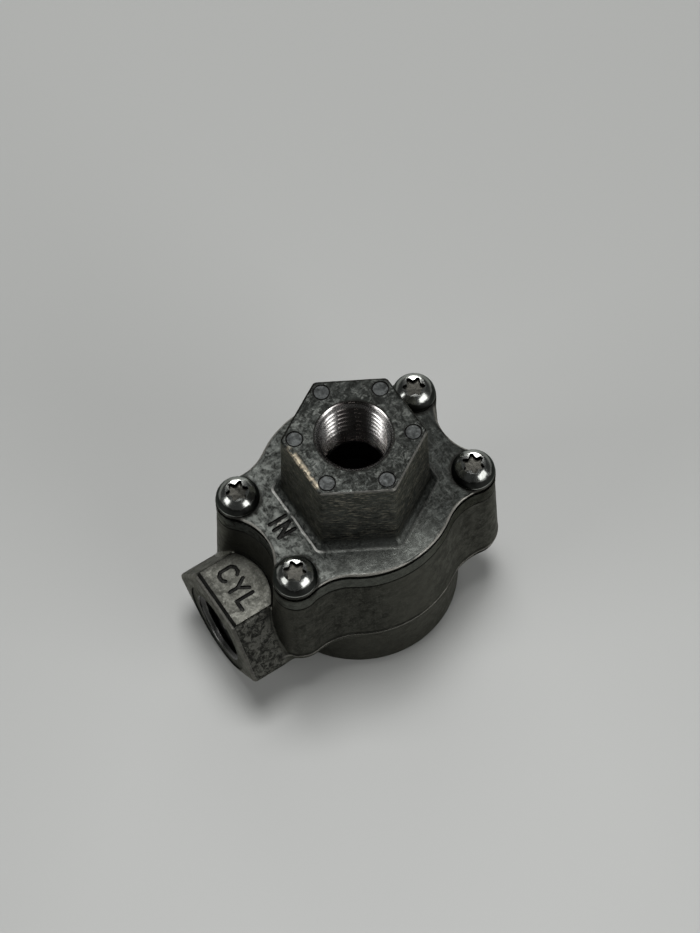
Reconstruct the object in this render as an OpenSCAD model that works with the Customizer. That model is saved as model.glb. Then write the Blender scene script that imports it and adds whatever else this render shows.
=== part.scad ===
// Quick exhaust valve: a cast body and cover held by four screws, with a rubber diaphragm that
// shuttles between the inlet seat in the cover and the exhaust seat in the body.
// The valve's axis is Z, the foot stands on z = 0 and the cylinder port looks along -X.

/* [Flange] */
// Radius of the round flange at the joint face
flange_r = 18; // [16.5:0.1:20]
// Distance between the cover screws along the cylinder port's axis
screw_pitch_x = 37.6; // [35:0.1:42]
// Distance between the cover screws across the cylinder port's axis
screw_pitch_y = 18.8; // [17:0.1:20]
// Radius of each screw ear
ear_r = 4.1; // [3.9:0.1:5]
// Radius of the hollow blends that run from the ears into the flange
blend_r = 9.2; // [8:0.1:11]
// Radius of the same blends at the body's parting line, where they are fuller
parting_blend_r = 12; // [10:0.1:15]

/* [Body] */
// Height of the body from the foot to the joint face
body_h = 30.7; // [28:0.1:35]
// Height of the die's parting line, above which the body widens into its ears
parting_h = 12.7; // [11:0.1:15]
// How far the rounded ends of the ears reach below the parting line
ear_drop = 2.4; // [1.5:0.1:4]
// Draft of the body's side walls, in degrees
body_draft = 3.5; // [1:0.1:5]
// Draft of the foot's side wall, in degrees
foot_draft = 0.4; // [0.1:0.1:2]
// Step in from the parting line to the foot
foot_step = 0.25; // [0.1:0.05:0.8]
// Radius of the valve chamber
chamber_r = 14; // [12.5:0.1:14.5]
// Thickness of the metal under the chamber
chamber_floor_t = 5.4; // [3.5:0.1:6]

/* [Cylinder port] */
// Across flats of the cylinder port's hexagon
cylinder_hex_af = 22.6; // [20:0.1:24]
// Radius of the round underside that takes the place of the hexagon's lower flats
cylinder_under_r = 9.6; // [9.2:0.1:10.4]
// Distance from the valve's axis to the port's end face
cylinder_reach = 30.9; // [28:0.1:34]
// Radius of the rounded edge round the port's end face
cylinder_end_r = 0.7; // [0.3:0.1:1]
// Radius of the spot face that is cut into the end face
spot_face_r = 8.7; // [8:0.1:8.8]
// Depth of the spot face
spot_face_depth = 0.25; // [0.1:0.05:0.6]
// Depth of the cylinder port's thread
cylinder_thread_depth = 13.5; // [10:0.1:15]
// Height of the raised pad on the hexagon's upper flat
pad_h = 0.4; // [0.2:0.1:1]
// Distance from the port's end face to the pad
pad_margin = 1.1; // [0.8:0.1:3]

/* [Inlet port] */
// Across flats of the inlet hexagon at its top
inlet_hex_af = 22.2; // [20:0.1:24]
// Height of the inlet hexagon above the cover plate
inlet_hex_h = 18.4; // [14:0.1:24]
// Draft of the inlet hexagon, in degrees
inlet_hex_draft = 1.6; // [0.5:0.1:3]
// Radius of the fillet at the root of the inlet hexagon
inlet_root_r = 1.8; // [0.8:0.1:2.5]
// Depth of the inlet port's thread
inlet_thread_depth = 15; // [11:0.1:18]
// Radius of each ejector pin mark on the hexagon's top face
pin_mark_r = 1.55; // [1:0.05:1.7]
// Depth of the ejector pin marks
pin_mark_depth = 0.15; // [0.1:0.05:0.4]

/* [Threads and passages] */
// Minor radius of the inlet and cylinder threads, 1/4-18 taper pipe
port_r = 5.7; // [5:0.05:6]
// Radius of the countersunk mouth of those threads
port_mouth_r = 6.8; // [6.5:0.05:7.5]
// Radius of the passage past those threads
passage_r = 5; // [4:0.1:5.3]
// Minor radius of the exhaust thread, 3/8-18 taper pipe
exhaust_r = 7.35; // [6.8:0.05:7.8]
// Depth of the exhaust thread
exhaust_thread_depth = 12; // [9:0.1:13]
// Radius of the exhaust passage under the exhaust seat
exhaust_passage_r = 6.5; // [5.5:0.1:6.7]
// Wall of the exhaust nozzle around its thread
nozzle_wall = 1.7; // [1.3:0.1:2.2]

/* [Cover] */
// Thickness of the cover plate
cover_t = 4.8; // [3.5:0.1:7]
// Radius of the cover plate's rounded upper edge
cover_edge_r = 0.5; // [0.3:0.1:1.2]
// Depth of the spigot that centres the cover in the chamber
spigot_h = 2.2; // [1.8:0.1:3.5]
// Clearance between the spigot and the chamber
spigot_gap = 0.1; // [0.05:0.01:0.2]
// Height of the inlet seat under the spigot
inlet_seat_h = 2; // [1.5:0.1:3]
// Width of the inlet and exhaust seats
seat_w = 1.5; // [1:0.1:1.6]

/* [Diaphragm] */
// Thickness of the diaphragm's disc
diaphragm_t = 3.5; // [2.5:0.1:4.5]
// Travel from the exhaust seat to the inlet seat
travel = 2.5; // [1.5:0.1:3]
// Gap between the diaphragm's lip and the chamber wall
lip_gap = 0.3; // [0.2:0.05:0.6]
// How far the lip hangs below the disc
lip_drop = 1.4; // [0.8:0.1:2]
// Thickness of the lip at its edge
lip_t = 0.7; // [0.5:0.1:1.2]

/* [Seal and screws] */
// Section diameter of the O-ring before it is squeezed
ring_d = 1.6; // [1.4:0.1:1.8]
// Depth of the groove that the O-ring is squeezed into
groove_depth = 1.3; // [1.1:0.05:1.4]
// Side clearance of the O-ring in its groove
groove_gap = 0.1; // [0.05:0.05:0.2]
// Nominal thread radius of the cover screws
screw_r = 2; // [1.8:0.05:2.2]
// Length of the cover screws under the head
screw_l = 14; // [11:0.5:16]
// Radius of the screw heads
head_r = 3.9; // [3.5:0.05:4]
// Height of the screw heads
head_h = 3.5; // [2.6:0.1:3.8]
// Height of the straight rim of the screw heads
head_rim_h = 0.6; // [0.2:0.1:0.8]
// Mean radius of the six-lobe recess
recess_r = 1.68; // [1.4:0.02:1.8]
// Depth of the six-lobe recess
recess_depth = 1.9; // [1.2:0.1:2.2]
// Clearance of the screws in the cover
screw_gap = 0.25; // [0.15:0.05:0.4]
// Clearance of the screws in the body's tapped holes
tap_gap = 0.05; // [0.02:0.01:0.1]

/* [Hidden] */
$fn = 96;

// Small overlap that lets pieces of one casting run into each other
bite = 1;
// How far the foot's top stays inside the flange block, so that their faces never coincide
parting_overlap = 0.02;
// Edge radius of the cast hexagons' corners and ends
cast_corner_r = 0.9;
cast_end_r = 0.5;
// Rounding of the lower ends of the ears
ear_edge_r = 1.3;
// Steps in a rounded edge, and in a hexagon's rounded corner
edge_steps = 4;
corner_steps = 5;
// Steps in each arc of the flange outline: beside the X axis, round an ear, beside the flange, on it
neck_steps = 8;
ear_steps = 16;
side_steps = 9;
flange_steps = 8;
// Steps in the round underside of the cylinder port's boss
under_steps = 10;
// Room under the screws and between the raised diaphragm and its seat
screw_tip_gap = 1.5;
stop_gap = 0.05;
// Share of the recess radius that its six lobes stand out and in
recess_lobe = 0.165;
// Flat margins beside the seat, the pin marks and the raised pad
seat_margin = 0.4;
pin_mark_margin = 0.7;
pad_side_margin = 0.4;

joint_z = body_h;
cover_top_z = joint_z + cover_t;
inlet_top_z = cover_top_z + inlet_hex_h;
cylinder_z = cylinder_hex_af / 2;
cylinder_mouth = cylinder_reach - spot_face_depth;
spigot_z = joint_z - spigot_h;
spigot_r = chamber_r - spigot_gap;
inlet_seat_z = spigot_z - inlet_seat_h;
inlet_seat_r = passage_r + seat_w;
diaphragm_top_z = inlet_seat_z - stop_gap - travel;
exhaust_seat_z = diaphragm_top_z - diaphragm_t;
exhaust_seat_r = exhaust_passage_r + seat_w;
nozzle_r = max(exhaust_r + nozzle_wall, exhaust_seat_r + seat_margin);
lip_r = chamber_r - lip_gap;
parting_grow = (body_h - parting_h) * tan(body_draft);
foot_top_r = flange_r + parting_grow - foot_step;
foot_base_r = foot_top_r - parting_h * tan(foot_draft);
groove_r = spigot_r + ring_d + 2 * groove_gap;
ring_mid_r = spigot_r + groove_gap + ring_d / 2;
tap_depth = screw_l - cover_t + screw_tip_gap;

// Screw positions, one in each quadrant
ear = [screw_pitch_x / 2, screw_pitch_y / 2];
ear_centres = [for (sx = [-1, 1], sy = [-1, 1]) [sx * ear.x, sy * ear.y]];

function bearing(from, to) = atan2(to.y - from.y, to.x - from.x);

// Points along an arc, without its last point, so that arcs can follow each other
function arc(centre, r, a, b, n) =
    [for (i = [0 : n - 1]) centre + r * [cos(a + (b - a) * i / n), sin(a + (b - a) * i / n)]];

// A quarter of the flange outline, from the +X axis round to the +Y axis, grown outwards all round.
// One blend has its centre on the X axis and touches two ears, the other touches an ear and the flange.
function quarter_outline(grow, blend) =
    let (
        neck_centre = [ear.x + sqrt(pow(blend + ear_r, 2) - pow(ear.y, 2)), 0],
        side_d = flange_r + blend,
        side_turn = acos((pow(side_d, 2) + ear * ear - pow(blend + ear_r, 2)) / (2 * side_d * norm(ear))),
        side_angle = atan2(ear.y, ear.x) + side_turn,
        side_centre = side_d * [cos(side_angle), sin(side_angle)])
    concat(
        arc(neck_centre, blend - grow, 180, bearing(neck_centre, ear), neck_steps),
        arc(ear, ear_r + grow, bearing(ear, neck_centre), bearing(ear, side_centre), ear_steps),
        arc(side_centre, blend - grow, bearing(side_centre, ear) + 360, side_angle + 180, side_steps),
        arc([0, 0], flange_r + grow, side_angle, 90, flange_steps),
        [[0, flange_r + grow]]);

function reversed(list) = [for (i = [len(list) - 1 : -1 : 0]) list[i]];
function without_ends(list) = [for (i = [1 : len(list) - 2]) list[i]];

// The whole flange outline: a round flange with four ears, blended all round
function flange_outline(grow, blend = blend_r) =
    let (
        quarter = quarter_outline(grow, blend),
        left = [for (p = without_ends(reversed(quarter))) [-p.x, p.y]],
        upper = concat(quarter, left, [[-quarter[0].x, 0]]),
        lower = [for (p = without_ends(reversed(upper))) [p.x, -p.y]])
    concat(upper, lower);

// A hexagon with rounded corners and two flats across the Y axis
function hexagon_outline(af, corner_r) = [
    for (k = [0 : 5], i = [0 : corner_steps])
        (af / 2 - corner_r) / cos(30) * [cos(60 * k), sin(60 * k)]
        + corner_r * [cos(60 * k - 30 + 60 * i / corner_steps), sin(60 * k - 30 + 60 * i / corner_steps)]];

// A hexagon's upper half, whose two side corners run down by tangents to a round underside.
// It is drawn for a shape that is turned towards the cylinder port, so its underside lies along +Y.
function boss_outline(inset) =
    let (
        under_r = min(cylinder_under_r, cylinder_hex_af / 2) - inset,
        corner_d = (cylinder_hex_af / 2 - inset - cast_corner_r) / cos(30),
        turn = acos((under_r - cast_corner_r) / corner_d))
    concat(
        rounded([corner_d, 0], cast_corner_r, -30, turn, corner_steps),
        rounded([0, 0], under_r, turn, 180 - turn, under_steps),
        rounded([-corner_d, 0], cast_corner_r, 180 - turn, 210, corner_steps),
        rounded(corner_d * [cos(240), sin(240)], cast_corner_r, 210, 270, corner_steps),
        rounded(corner_d * [cos(300), sin(300)], cast_corner_r, 270, 330, corner_steps));

// Points along an arc with both its ends
function rounded(centre, r, a, b, n) = concat(arc(centre, r, a, b, n), [centre + r * [cos(b), sin(b)]]);

function at_height(outline, z) = [for (p = outline) [p.x, p.y, z]];

// A solid skinned through rings that have as many points each, from the lowest to the highest
module loft(rings) {
    n = len(rings[0]);
    last = (len(rings) - 1) * n;
    sides = [for (k = [0 : len(rings) - 2], i = [0 : n - 1])
        [k * n + i, (k + 1) * n + i, (k + 1) * n + (i + 1) % n, k * n + (i + 1) % n]];
    floor_face = [for (i = [0 : n - 1]) i];
    roof_face = [for (i = [n - 1 : -1 : 0]) last + i];
    polyhedron([for (ring = rings) each ring], concat([floor_face], sides, [roof_face]));
}

// Angles of the points on a rounded edge
edge_angles = [for (i = [0 : edge_steps]) 90 * i / edge_steps];

// A round hole along +Z from its mouth at z = 0, countersunk, down to a passage that runs on
module port(mouth_r, thread_r, depth, run_r, run_depth) {
    countersink = mouth_r - thread_r;
    translate([0, 0, -countersink])
        cylinder(h = countersink + bite, r1 = thread_r, r2 = mouth_r + bite * (mouth_r - thread_r) / countersink);
    translate([0, 0, -depth])
        cylinder(h = depth, r = thread_r);
    translate([0, 0, -run_depth])
        cylinder(h = run_depth, r = run_r);
}

module at_screws(z) {
    for (c = ear_centres)
        translate([c.x, c.y, z])
            children();
}

// Turns a shape that rises along +Z so that it runs out along -X, at the cylinder port's height
module towards_cylinder() {
    translate([0, 0, cylinder_z])
        rotate([0, -90, 0])
            rotate([0, 0, 90])
                children();
}

// The drafted flange block with its four ears, whose ends are rounded below the parting line
module flange_block() {
    foot_grow = parting_grow - foot_step;
    loft(concat(
        [for (a = edge_angles)
            at_height(
                flange_outline(foot_grow - ear_edge_r * (1 - sin(a)), parting_blend_r),
                parting_h - ear_drop + ear_edge_r * (1 - cos(a)))],
        [at_height(flange_outline(foot_grow, parting_blend_r), parting_h)],
        [at_height(flange_outline(parting_grow, parting_blend_r), parting_h)],
        [at_height(flange_outline(0), joint_z)]));
}

// The round foot, drafted like the rest of the lower half of the die
module foot() {
    cylinder(h = parting_h, r1 = foot_base_r, r2 = foot_top_r - parting_overlap);
}

// The boss of the cylinder port, hexagonal above and round below, and the raised pad on its upper flat
module cylinder_boss() {
    pad_w = cylinder_hex_af / sqrt(3) - 2 * pad_side_margin;
    pad_l = cylinder_reach - pad_margin - chamber_r - bite;
    towards_cylinder()
        loft(concat(
            [at_height(boss_outline(0), chamber_r + bite)],
            [for (a = edge_angles)
                at_height(
                    boss_outline(cylinder_end_r * (1 - cos(a))),
                    cylinder_reach - cylinder_end_r * (1 - sin(a)))]));
    translate([pad_margin - cylinder_reach, -pad_w / 2, cylinder_hex_af - bite])
        cube([pad_l, pad_w, bite + pad_h]);
}

// The ring-shaped chamber round the exhaust nozzle
module chamber() {
    difference() {
        translate([0, 0, chamber_floor_t])
            cylinder(h = joint_z - chamber_floor_t + bite, r = chamber_r);
        nozzle();
    }
    translate([0, 0, joint_z - groove_depth])
        cylinder(h = groove_depth + bite, r = groove_r);
}

// The tube that carries the exhaust seat, tapered at its top
module nozzle() {
    taper_h = nozzle_r - exhaust_seat_r;
    cylinder(h = exhaust_seat_z - taper_h, r = nozzle_r);
    translate([0, 0, exhaust_seat_z - taper_h])
        cylinder(h = taper_h, r1 = nozzle_r, r2 = exhaust_seat_r);
}

// The exhaust port under the foot, and the passage from it up to the exhaust seat
module exhaust_port() {
    translate([0, 0, -bite])
        cylinder(h = exhaust_thread_depth + bite, r = exhaust_r);
    cylinder(h = exhaust_seat_z + bite, r = exhaust_passage_r);
}

// The cylinder port, whose mouth lies on the spot face at z = 0
module cylinder_port() {
    cylinder(h = spot_face_depth + bite, r = spot_face_r);
    port(port_mouth_r, port_r, cylinder_thread_depth, passage_r, cylinder_mouth - nozzle_r - bite);
}

module body() {
    color("dimgray")
        difference() {
            union() {
                flange_block();
                foot();
                cylinder_boss();
            }
            chamber();
            exhaust_port();
            towards_cylinder()
                translate([0, 0, cylinder_mouth])
                    cylinder_port();
            at_screws(joint_z - tap_depth)
                cylinder(h = tap_depth + bite, r = screw_r + tap_gap);
        }
}

module cover_plate() {
    loft(concat(
        [at_height(flange_outline(0), joint_z)],
        [for (a = edge_angles)
            at_height(
                flange_outline(-cover_edge_r * (1 - cos(a))),
                cover_top_z - cover_edge_r * (1 - sin(a)))]));
}

// The drafted inlet hexagon, with a fillet at its root and rounded upper edges
module inlet_boss() {
    root_angles = [for (i = [1 : edge_steps]) 90 * i / edge_steps];
    function af_at(h) = inlet_hex_af + 2 * (inlet_hex_h - h) * tan(inlet_hex_draft);
    function root_h(a) = inlet_root_r * (1 - cos(a));
    function root_af(a) = af_at(root_h(a)) + 2 * inlet_root_r * (1 - sin(a));
    rotate([0, 0, 30])
        loft(concat(
            [at_height(hexagon_outline(root_af(root_angles[0]), cast_corner_r), cover_top_z - bite)],
            [for (a = root_angles) at_height(hexagon_outline(root_af(a), cast_corner_r), cover_top_z + root_h(a))],
            [for (a = edge_angles)
                at_height(
                    hexagon_outline(inlet_hex_af - 2 * cast_end_r * (1 - cos(a)), cast_corner_r),
                    inlet_top_z - cast_end_r * (1 - sin(a)))]));
}

// Round marks that the ejector pins leave near the hexagon's corners
module pin_marks() {
    reach = (inlet_hex_af / 2 - pin_mark_r - pin_mark_margin) / cos(30);
    for (k = [0 : 5])
        rotate([0, 0, 60 * k + 30])
            translate([reach, 0, inlet_top_z - pin_mark_depth])
                cylinder(h = pin_mark_depth + bite, r = pin_mark_r);
}

module cover() {
    color("gray")
        difference() {
            union() {
                cover_plate();
                inlet_boss();
                translate([0, 0, spigot_z])
                    cylinder(h = spigot_h + bite, r = spigot_r);
                translate([0, 0, inlet_seat_z])
                    cylinder(h = inlet_seat_h + bite, r = inlet_seat_r);
            }
            translate([0, 0, inlet_top_z])
                port(port_mouth_r, port_r, inlet_thread_depth, passage_r, inlet_top_z - inlet_seat_z + bite);
            pin_marks();
            at_screws(joint_z - bite)
                cylinder(h = cover_t + 2 * bite, r = screw_r + screw_gap);
        }
}

// Outline of the six-lobe recess
function six_lobe(r) = [for (a = [0 : 5 : 355]) r * (1 + recess_lobe * cos(6 * a)) * [cos(a), sin(a)]];

// Half section of a screw: shank, flat under the head, straight rim and domed crown
module screw_section() {
    crown_h = head_h - head_rim_h;
    dome_r = (pow(head_r, 2) + pow(crown_h, 2)) / (2 * crown_h);
    dome_angle = asin(head_r / dome_r);
    polygon(concat(
        [[0, -screw_l], [screw_r, -screw_l], [screw_r, 0], [head_r, 0]],
        [for (i = [0 : edge_steps * 3])
            let (a = dome_angle * (1 - i / (edge_steps * 3)))
            [dome_r * sin(a), head_h - dome_r * (1 - cos(a))]]));
}

module cover_screws() {
    color("silver")
        at_screws(cover_top_z)
            difference() {
                rotate_extrude()
                    screw_section();
                translate([0, 0, head_h - recess_depth])
                    linear_extrude(recess_depth + bite)
                        polygon(six_lobe(recess_r));
            }
}

// A disc with a lip that hangs down and out to the chamber wall
module diaphragm() {
    disc_r = nozzle_r + lip_gap;
    shoulder_r = disc_r + (lip_r - disc_r) / 4;
    waist_r = disc_r + (lip_r - disc_r) / 2;
    color([0.08, 0.08, 0.08])
        translate([0, 0, exhaust_seat_z])
            rotate_extrude()
                polygon([
                    [0, 0],
                    [disc_r, 0],
                    [lip_r - lip_t, -lip_drop],
                    [lip_r, -lip_drop],
                    [lip_r, -lip_drop + lip_t],
                    [waist_r, diaphragm_t / 2],
                    [shoulder_r, diaphragm_t],
                    [0, diaphragm_t]]);
}

// The O-ring, flattened between the groove's floor and the cover
module cover_o_ring() {
    color([0.05, 0.05, 0.05])
        rotate_extrude()
            translate([ring_mid_r, joint_z - groove_depth / 2])
                intersection() {
                    circle(d = ring_d);
                    square([2 * ring_d, groove_depth], center = true);
                }
}

body();
cover();
cover_screws();
diaphragm();
cover_o_ring();
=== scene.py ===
"""Looks of a die-cast quick exhaust valve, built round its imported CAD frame."""

import logging
import math
from dataclasses import dataclass
from enum import Enum
from typing import ClassVar

import bpy
import numpy as np
from mathutils import Matrix, Vector
from mathutils.bvhtree import BVHTree


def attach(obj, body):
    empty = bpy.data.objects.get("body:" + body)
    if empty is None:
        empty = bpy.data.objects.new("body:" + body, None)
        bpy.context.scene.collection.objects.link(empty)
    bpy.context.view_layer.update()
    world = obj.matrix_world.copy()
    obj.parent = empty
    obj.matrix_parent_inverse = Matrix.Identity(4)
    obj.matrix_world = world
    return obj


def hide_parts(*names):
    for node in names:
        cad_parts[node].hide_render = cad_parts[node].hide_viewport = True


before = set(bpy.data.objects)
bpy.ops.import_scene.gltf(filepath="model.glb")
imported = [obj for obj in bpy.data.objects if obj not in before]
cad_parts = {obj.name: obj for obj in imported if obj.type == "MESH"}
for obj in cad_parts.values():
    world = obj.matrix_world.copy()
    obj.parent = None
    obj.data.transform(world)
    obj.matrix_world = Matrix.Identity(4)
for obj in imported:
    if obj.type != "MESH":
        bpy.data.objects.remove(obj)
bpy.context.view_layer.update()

log = logging.getLogger("valve")

MM = 0.001

# Heights in millimetres that several pieces share
PARTING_Z = 12.7
JOINT_Z = 30.7
PLATE_TOP_Z = 35.5
INLET_TOP_Z = 53.9

# Radii in millimetres of the inlet and cylinder ports
SMALL_PORT = {"mouth_r": 6.8, "minor_r": 5.85, "major_r": 6.75, "passage_r": 5.0}

# Factors that keep the parts of a vector across an upright axis, or across the X axis
LEVEL = (1.0, 1.0, 0.0)
UPRIGHT = (0.0, 1.0, 1.0)

Piece = bpy.types.Object
Material = bpy.types.Material
Socket = bpy.types.NodeSocket
Outputs = bpy.types.bpy_prop_collection
Colour = tuple[float, float, float, float]
Triple = tuple[float, float, float]
Pair = tuple[float, float]


class Surface(Enum):
    """Material slots of a casting, in the order of its slot list."""

    CAST = 0
    MACHINED = 1
    MARKED = 2
    PIN = 3
    THREAD = 4


class Look(Enum):
    """The way a port's mouth faces."""

    UP = "up"
    DOWN = "down"
    ACROSS = "across"


def clear_selection() -> None:
    """Leave edit mode and deselect every object."""
    active = bpy.context.object
    if active is not None and active.mode != "OBJECT":
        bpy.ops.object.mode_set(mode="OBJECT")
    bpy.ops.object.select_all(action="DESELECT")


def activate(piece: Piece) -> None:
    """Make one object the only selected and active one."""
    clear_selection()
    piece.select_set(True)
    bpy.context.view_layer.objects.active = piece


def skin(name: str, rings: np.ndarray) -> Piece:
    """Roll a grid into a closed solid whose rows follow the given rings.

    Rings that shrink to a point close a pole, and a last ring equal to the first closes a loop.

    Args:
        name: Name of the new object.
        rings: Points in millimetres, shaped rows by points by three.

    Returns:
        The new object, with outward faces and its ends filled.
    """
    clear_selection()
    rows, columns = rings.shape[:2]
    bpy.ops.mesh.primitive_grid_add(x_subdivisions=columns, y_subdivisions=rows - 1, size=1.0)
    piece = bpy.context.object
    piece.name = name
    piece.data.name = name
    rolled = np.concatenate([rings, rings[:, :1]], axis=1) * MM
    if len(piece.data.vertices) != rolled.shape[0] * rolled.shape[1]:
        raise ValueError(f"{name}: the grid has {len(piece.data.vertices)} points")
    piece.data.vertices.foreach_set("co", rolled.reshape(-1).astype(np.float32))
    bpy.ops.object.mode_set(mode="EDIT")
    bpy.ops.mesh.select_all(action="SELECT")
    bpy.ops.mesh.remove_doubles(threshold=1e-7)
    bpy.ops.mesh.select_all(action="SELECT")
    bpy.ops.mesh.fill_holes(sides=0)
    bpy.ops.mesh.select_all(action="SELECT")
    bpy.ops.mesh.normals_make_consistent(inside=False)
    bpy.ops.object.mode_set(mode="OBJECT")
    return piece


def circle(radius: float, z: float, steps: int = 96, centre: Pair = (0.0, 0.0)) -> np.ndarray:
    """Return the points of a level circle, in millimetres."""
    turn = np.arange(steps) * 2 * math.pi / steps
    x = centre[0] + radius * np.cos(turn)
    y = centre[1] + radius * np.sin(turn)
    return np.stack([x, y, np.full(steps, z)], axis=1)


def revolve(name: str, profile: list[Pair], steps: int = 96, centre: Pair = (0.0, 0.0)) -> Piece:
    """Turn a profile of radius and height round an upright axis.

    Args:
        name: Name of the new object.
        profile: Radius and height pairs in millimetres.
        steps: Points round the axis.
        centre: Where the axis stands.

    Returns:
        The turned solid.
    """
    return skin(name, np.stack([circle(r, z, steps, centre) for r, z in profile]))


def quarter(steps: int) -> list[float]:
    """Return angles from 0 to a right angle, in equal steps."""
    return [math.pi / 2 * step / steps for step in range(steps + 1)]


def join(pieces: list[Piece]) -> Piece:
    """Join objects into the first of them and return it."""
    activate(pieces[0])
    for other in pieces[1:]:
        other.select_set(True)
    if len(pieces) > 1:
        bpy.ops.object.join()
    return bpy.context.object


def apply_modifier(piece: Piece, kind: str, **settings: object) -> None:
    """Add a modifier with the given settings and apply it."""
    activate(piece)
    modifier = piece.modifiers.new(kind.lower(), kind)
    for key, value in settings.items():
        setattr(modifier, key, value)
    bpy.ops.object.modifier_apply(modifier=modifier.name)


def stand_in(surface: Surface) -> Material:
    """Return the stand-in material of a slot, which a finish takes the place of later."""
    name = f"slot_{surface.name.lower()}"
    return bpy.data.materials.get(name) or bpy.data.materials.new(name)


def mark(piece: Piece, surface: Surface) -> Piece:
    """Give a piece every slot of a casting, and all its faces one of them."""
    piece.data.materials.clear()
    for slot in Surface:
        piece.data.materials.append(stand_in(slot))
    piece.data.polygons.foreach_set("material_index", [surface.value] * len(piece.data.polygons))
    return piece


def mark_floor(piece: Piece, surface: Surface, centre: Vector, reach: float) -> Piece:
    """Give the downward faces of a cutter near an upright axis their own slot.

    Args:
        piece: The cutter.
        surface: Slot of the floor that these faces leave.
        centre: A point on the axis, in metres.
        reach: How far from the axis a face may lie, in metres.

    Returns:
        The same cutter.
    """
    for face in piece.data.polygons:
        if face.normal.z < -0.9 and (face.center - centre).xy.length < reach:
            face.material_index = surface.value
    return piece


def cut(piece: Piece, cutters: list[Piece]) -> None:
    """Cut joined cutters out of a piece and remove them."""
    tool = join(cutters)
    apply_modifier(piece, "BOOLEAN", operation="DIFFERENCE", solver="MANIFOLD", object=tool)
    bpy.data.objects.remove(tool)


def add(piece: Piece, solids: list[Piece]) -> None:
    """Add crisp solids to a piece, one after the other, and remove them."""
    for solid in solids:
        apply_modifier(piece, "BOOLEAN", operation="UNION", solver="MANIFOLD", object=solid)
        bpy.data.objects.remove(solid)


def fuse(piece: Piece, grain_mm: float, soften: int) -> None:
    """Fuse overlapping solids into one casting with soft edges.

    Args:
        piece: The joined solids.
        grain_mm: Size of the cells that the fused skin is made of.
        soften: How often the skin is smoothed.
    """
    apply_modifier(piece, "REMESH", mode="VOXEL", voxel_size=grain_mm * MM, adaptivity=0.0)
    apply_modifier(piece, "SMOOTH", factor=0.5, iterations=soften)


def ripple(piece: Piece, wave_mm: float, height_mm: float) -> None:
    """Make a casting's skin a little uneven, as a worn die leaves it.

    Args:
        piece: The fused casting.
        wave_mm: Width of the waves.
        height_mm: Their height from trough to crest.
    """
    clouds = bpy.data.textures.new("die_unevenness", "CLOUDS")
    clouds.noise_scale = wave_mm * MM
    clouds.noise_depth = 2
    apply_modifier(
        piece, "DISPLACE", texture=clouds, texture_coords="LOCAL", strength=height_mm * MM, mid_level=1.0
    )
    bpy.data.textures.remove(clouds)


def thin_out(piece: Piece, faces: int) -> None:
    """Keep about the given number of triangles."""
    have = 2 * len(piece.data.polygons)
    if have > faces:
        settings = {"decimate_type": "COLLAPSE", "use_collapse_triangulate": True}
        apply_modifier(piece, "DECIMATE", ratio=faces / have, **settings)


def jagged(count: int, height: float, seed: int) -> np.ndarray:
    """Return small uneven offsets round a closed line, the same on every run.

    Args:
        count: Points on the line.
        height: Usual size of an offset.
        seed: Number that the offsets start from.

    Returns:
        One offset for each point.
    """
    rough = np.random.default_rng(seed).normal(0.0, 1.0, count)
    soft = (np.roll(rough, 1) + 2 * rough + np.roll(rough, -1)) / 4
    wide = np.convolve(np.concatenate([rough, rough, rough]), np.ones(9) / 9, "same")[count : 2 * count]
    return height * (soft + 1.5 * wide)


def write_edges(piece: Piece, passes: int = 2) -> None:
    """Store on each point how sharply the skin stands out there, with 0 on sunk marks.

    Args:
        piece: The finished casting.
        passes: How often the values are averaged over their neighbours.
    """
    mesh = piece.data
    count = len(mesh.vertices)
    place = np.zeros(count * 3, np.float32)
    mesh.vertices.foreach_get("co", place)
    place = place.reshape(-1, 3).astype(float)
    normal = np.zeros(count * 3, np.float32)
    mesh.vertices.foreach_get("normal", normal)
    normal = normal.reshape(-1, 3).astype(float)
    ends = np.zeros(len(mesh.edges) * 2, np.int32)
    mesh.edges.foreach_get("vertices", ends)
    a, b = ends.reshape(-1, 2).T
    length = np.linalg.norm(place[a] - place[b], axis=1) + 1e-9
    bend = np.einsum("ij,ij->i", normal[b] - normal[a], place[b] - place[a]) / length**2
    weight = np.bincount(a, length, count) + np.bincount(b, length, count) + 1e-12
    value = (np.bincount(a, bend * length, count) + np.bincount(b, bend * length, count)) / weight
    for _ in range(passes):
        given = np.bincount(a, value[b] * length, count)
        taken = np.bincount(b, value[a] * length, count)
        value = (given + taken) / weight
    value = np.clip(value * MM, -2.0, 2.0)
    for face in mesh.polygons:
        if face.material_index == Surface.MARKED.value:
            value[list(face.vertices)] = 0.0
    attribute = mesh.attributes.new("edge", "FLOAT", "POINT")
    attribute.data.foreach_set("value", value.astype(np.float32))


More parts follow.
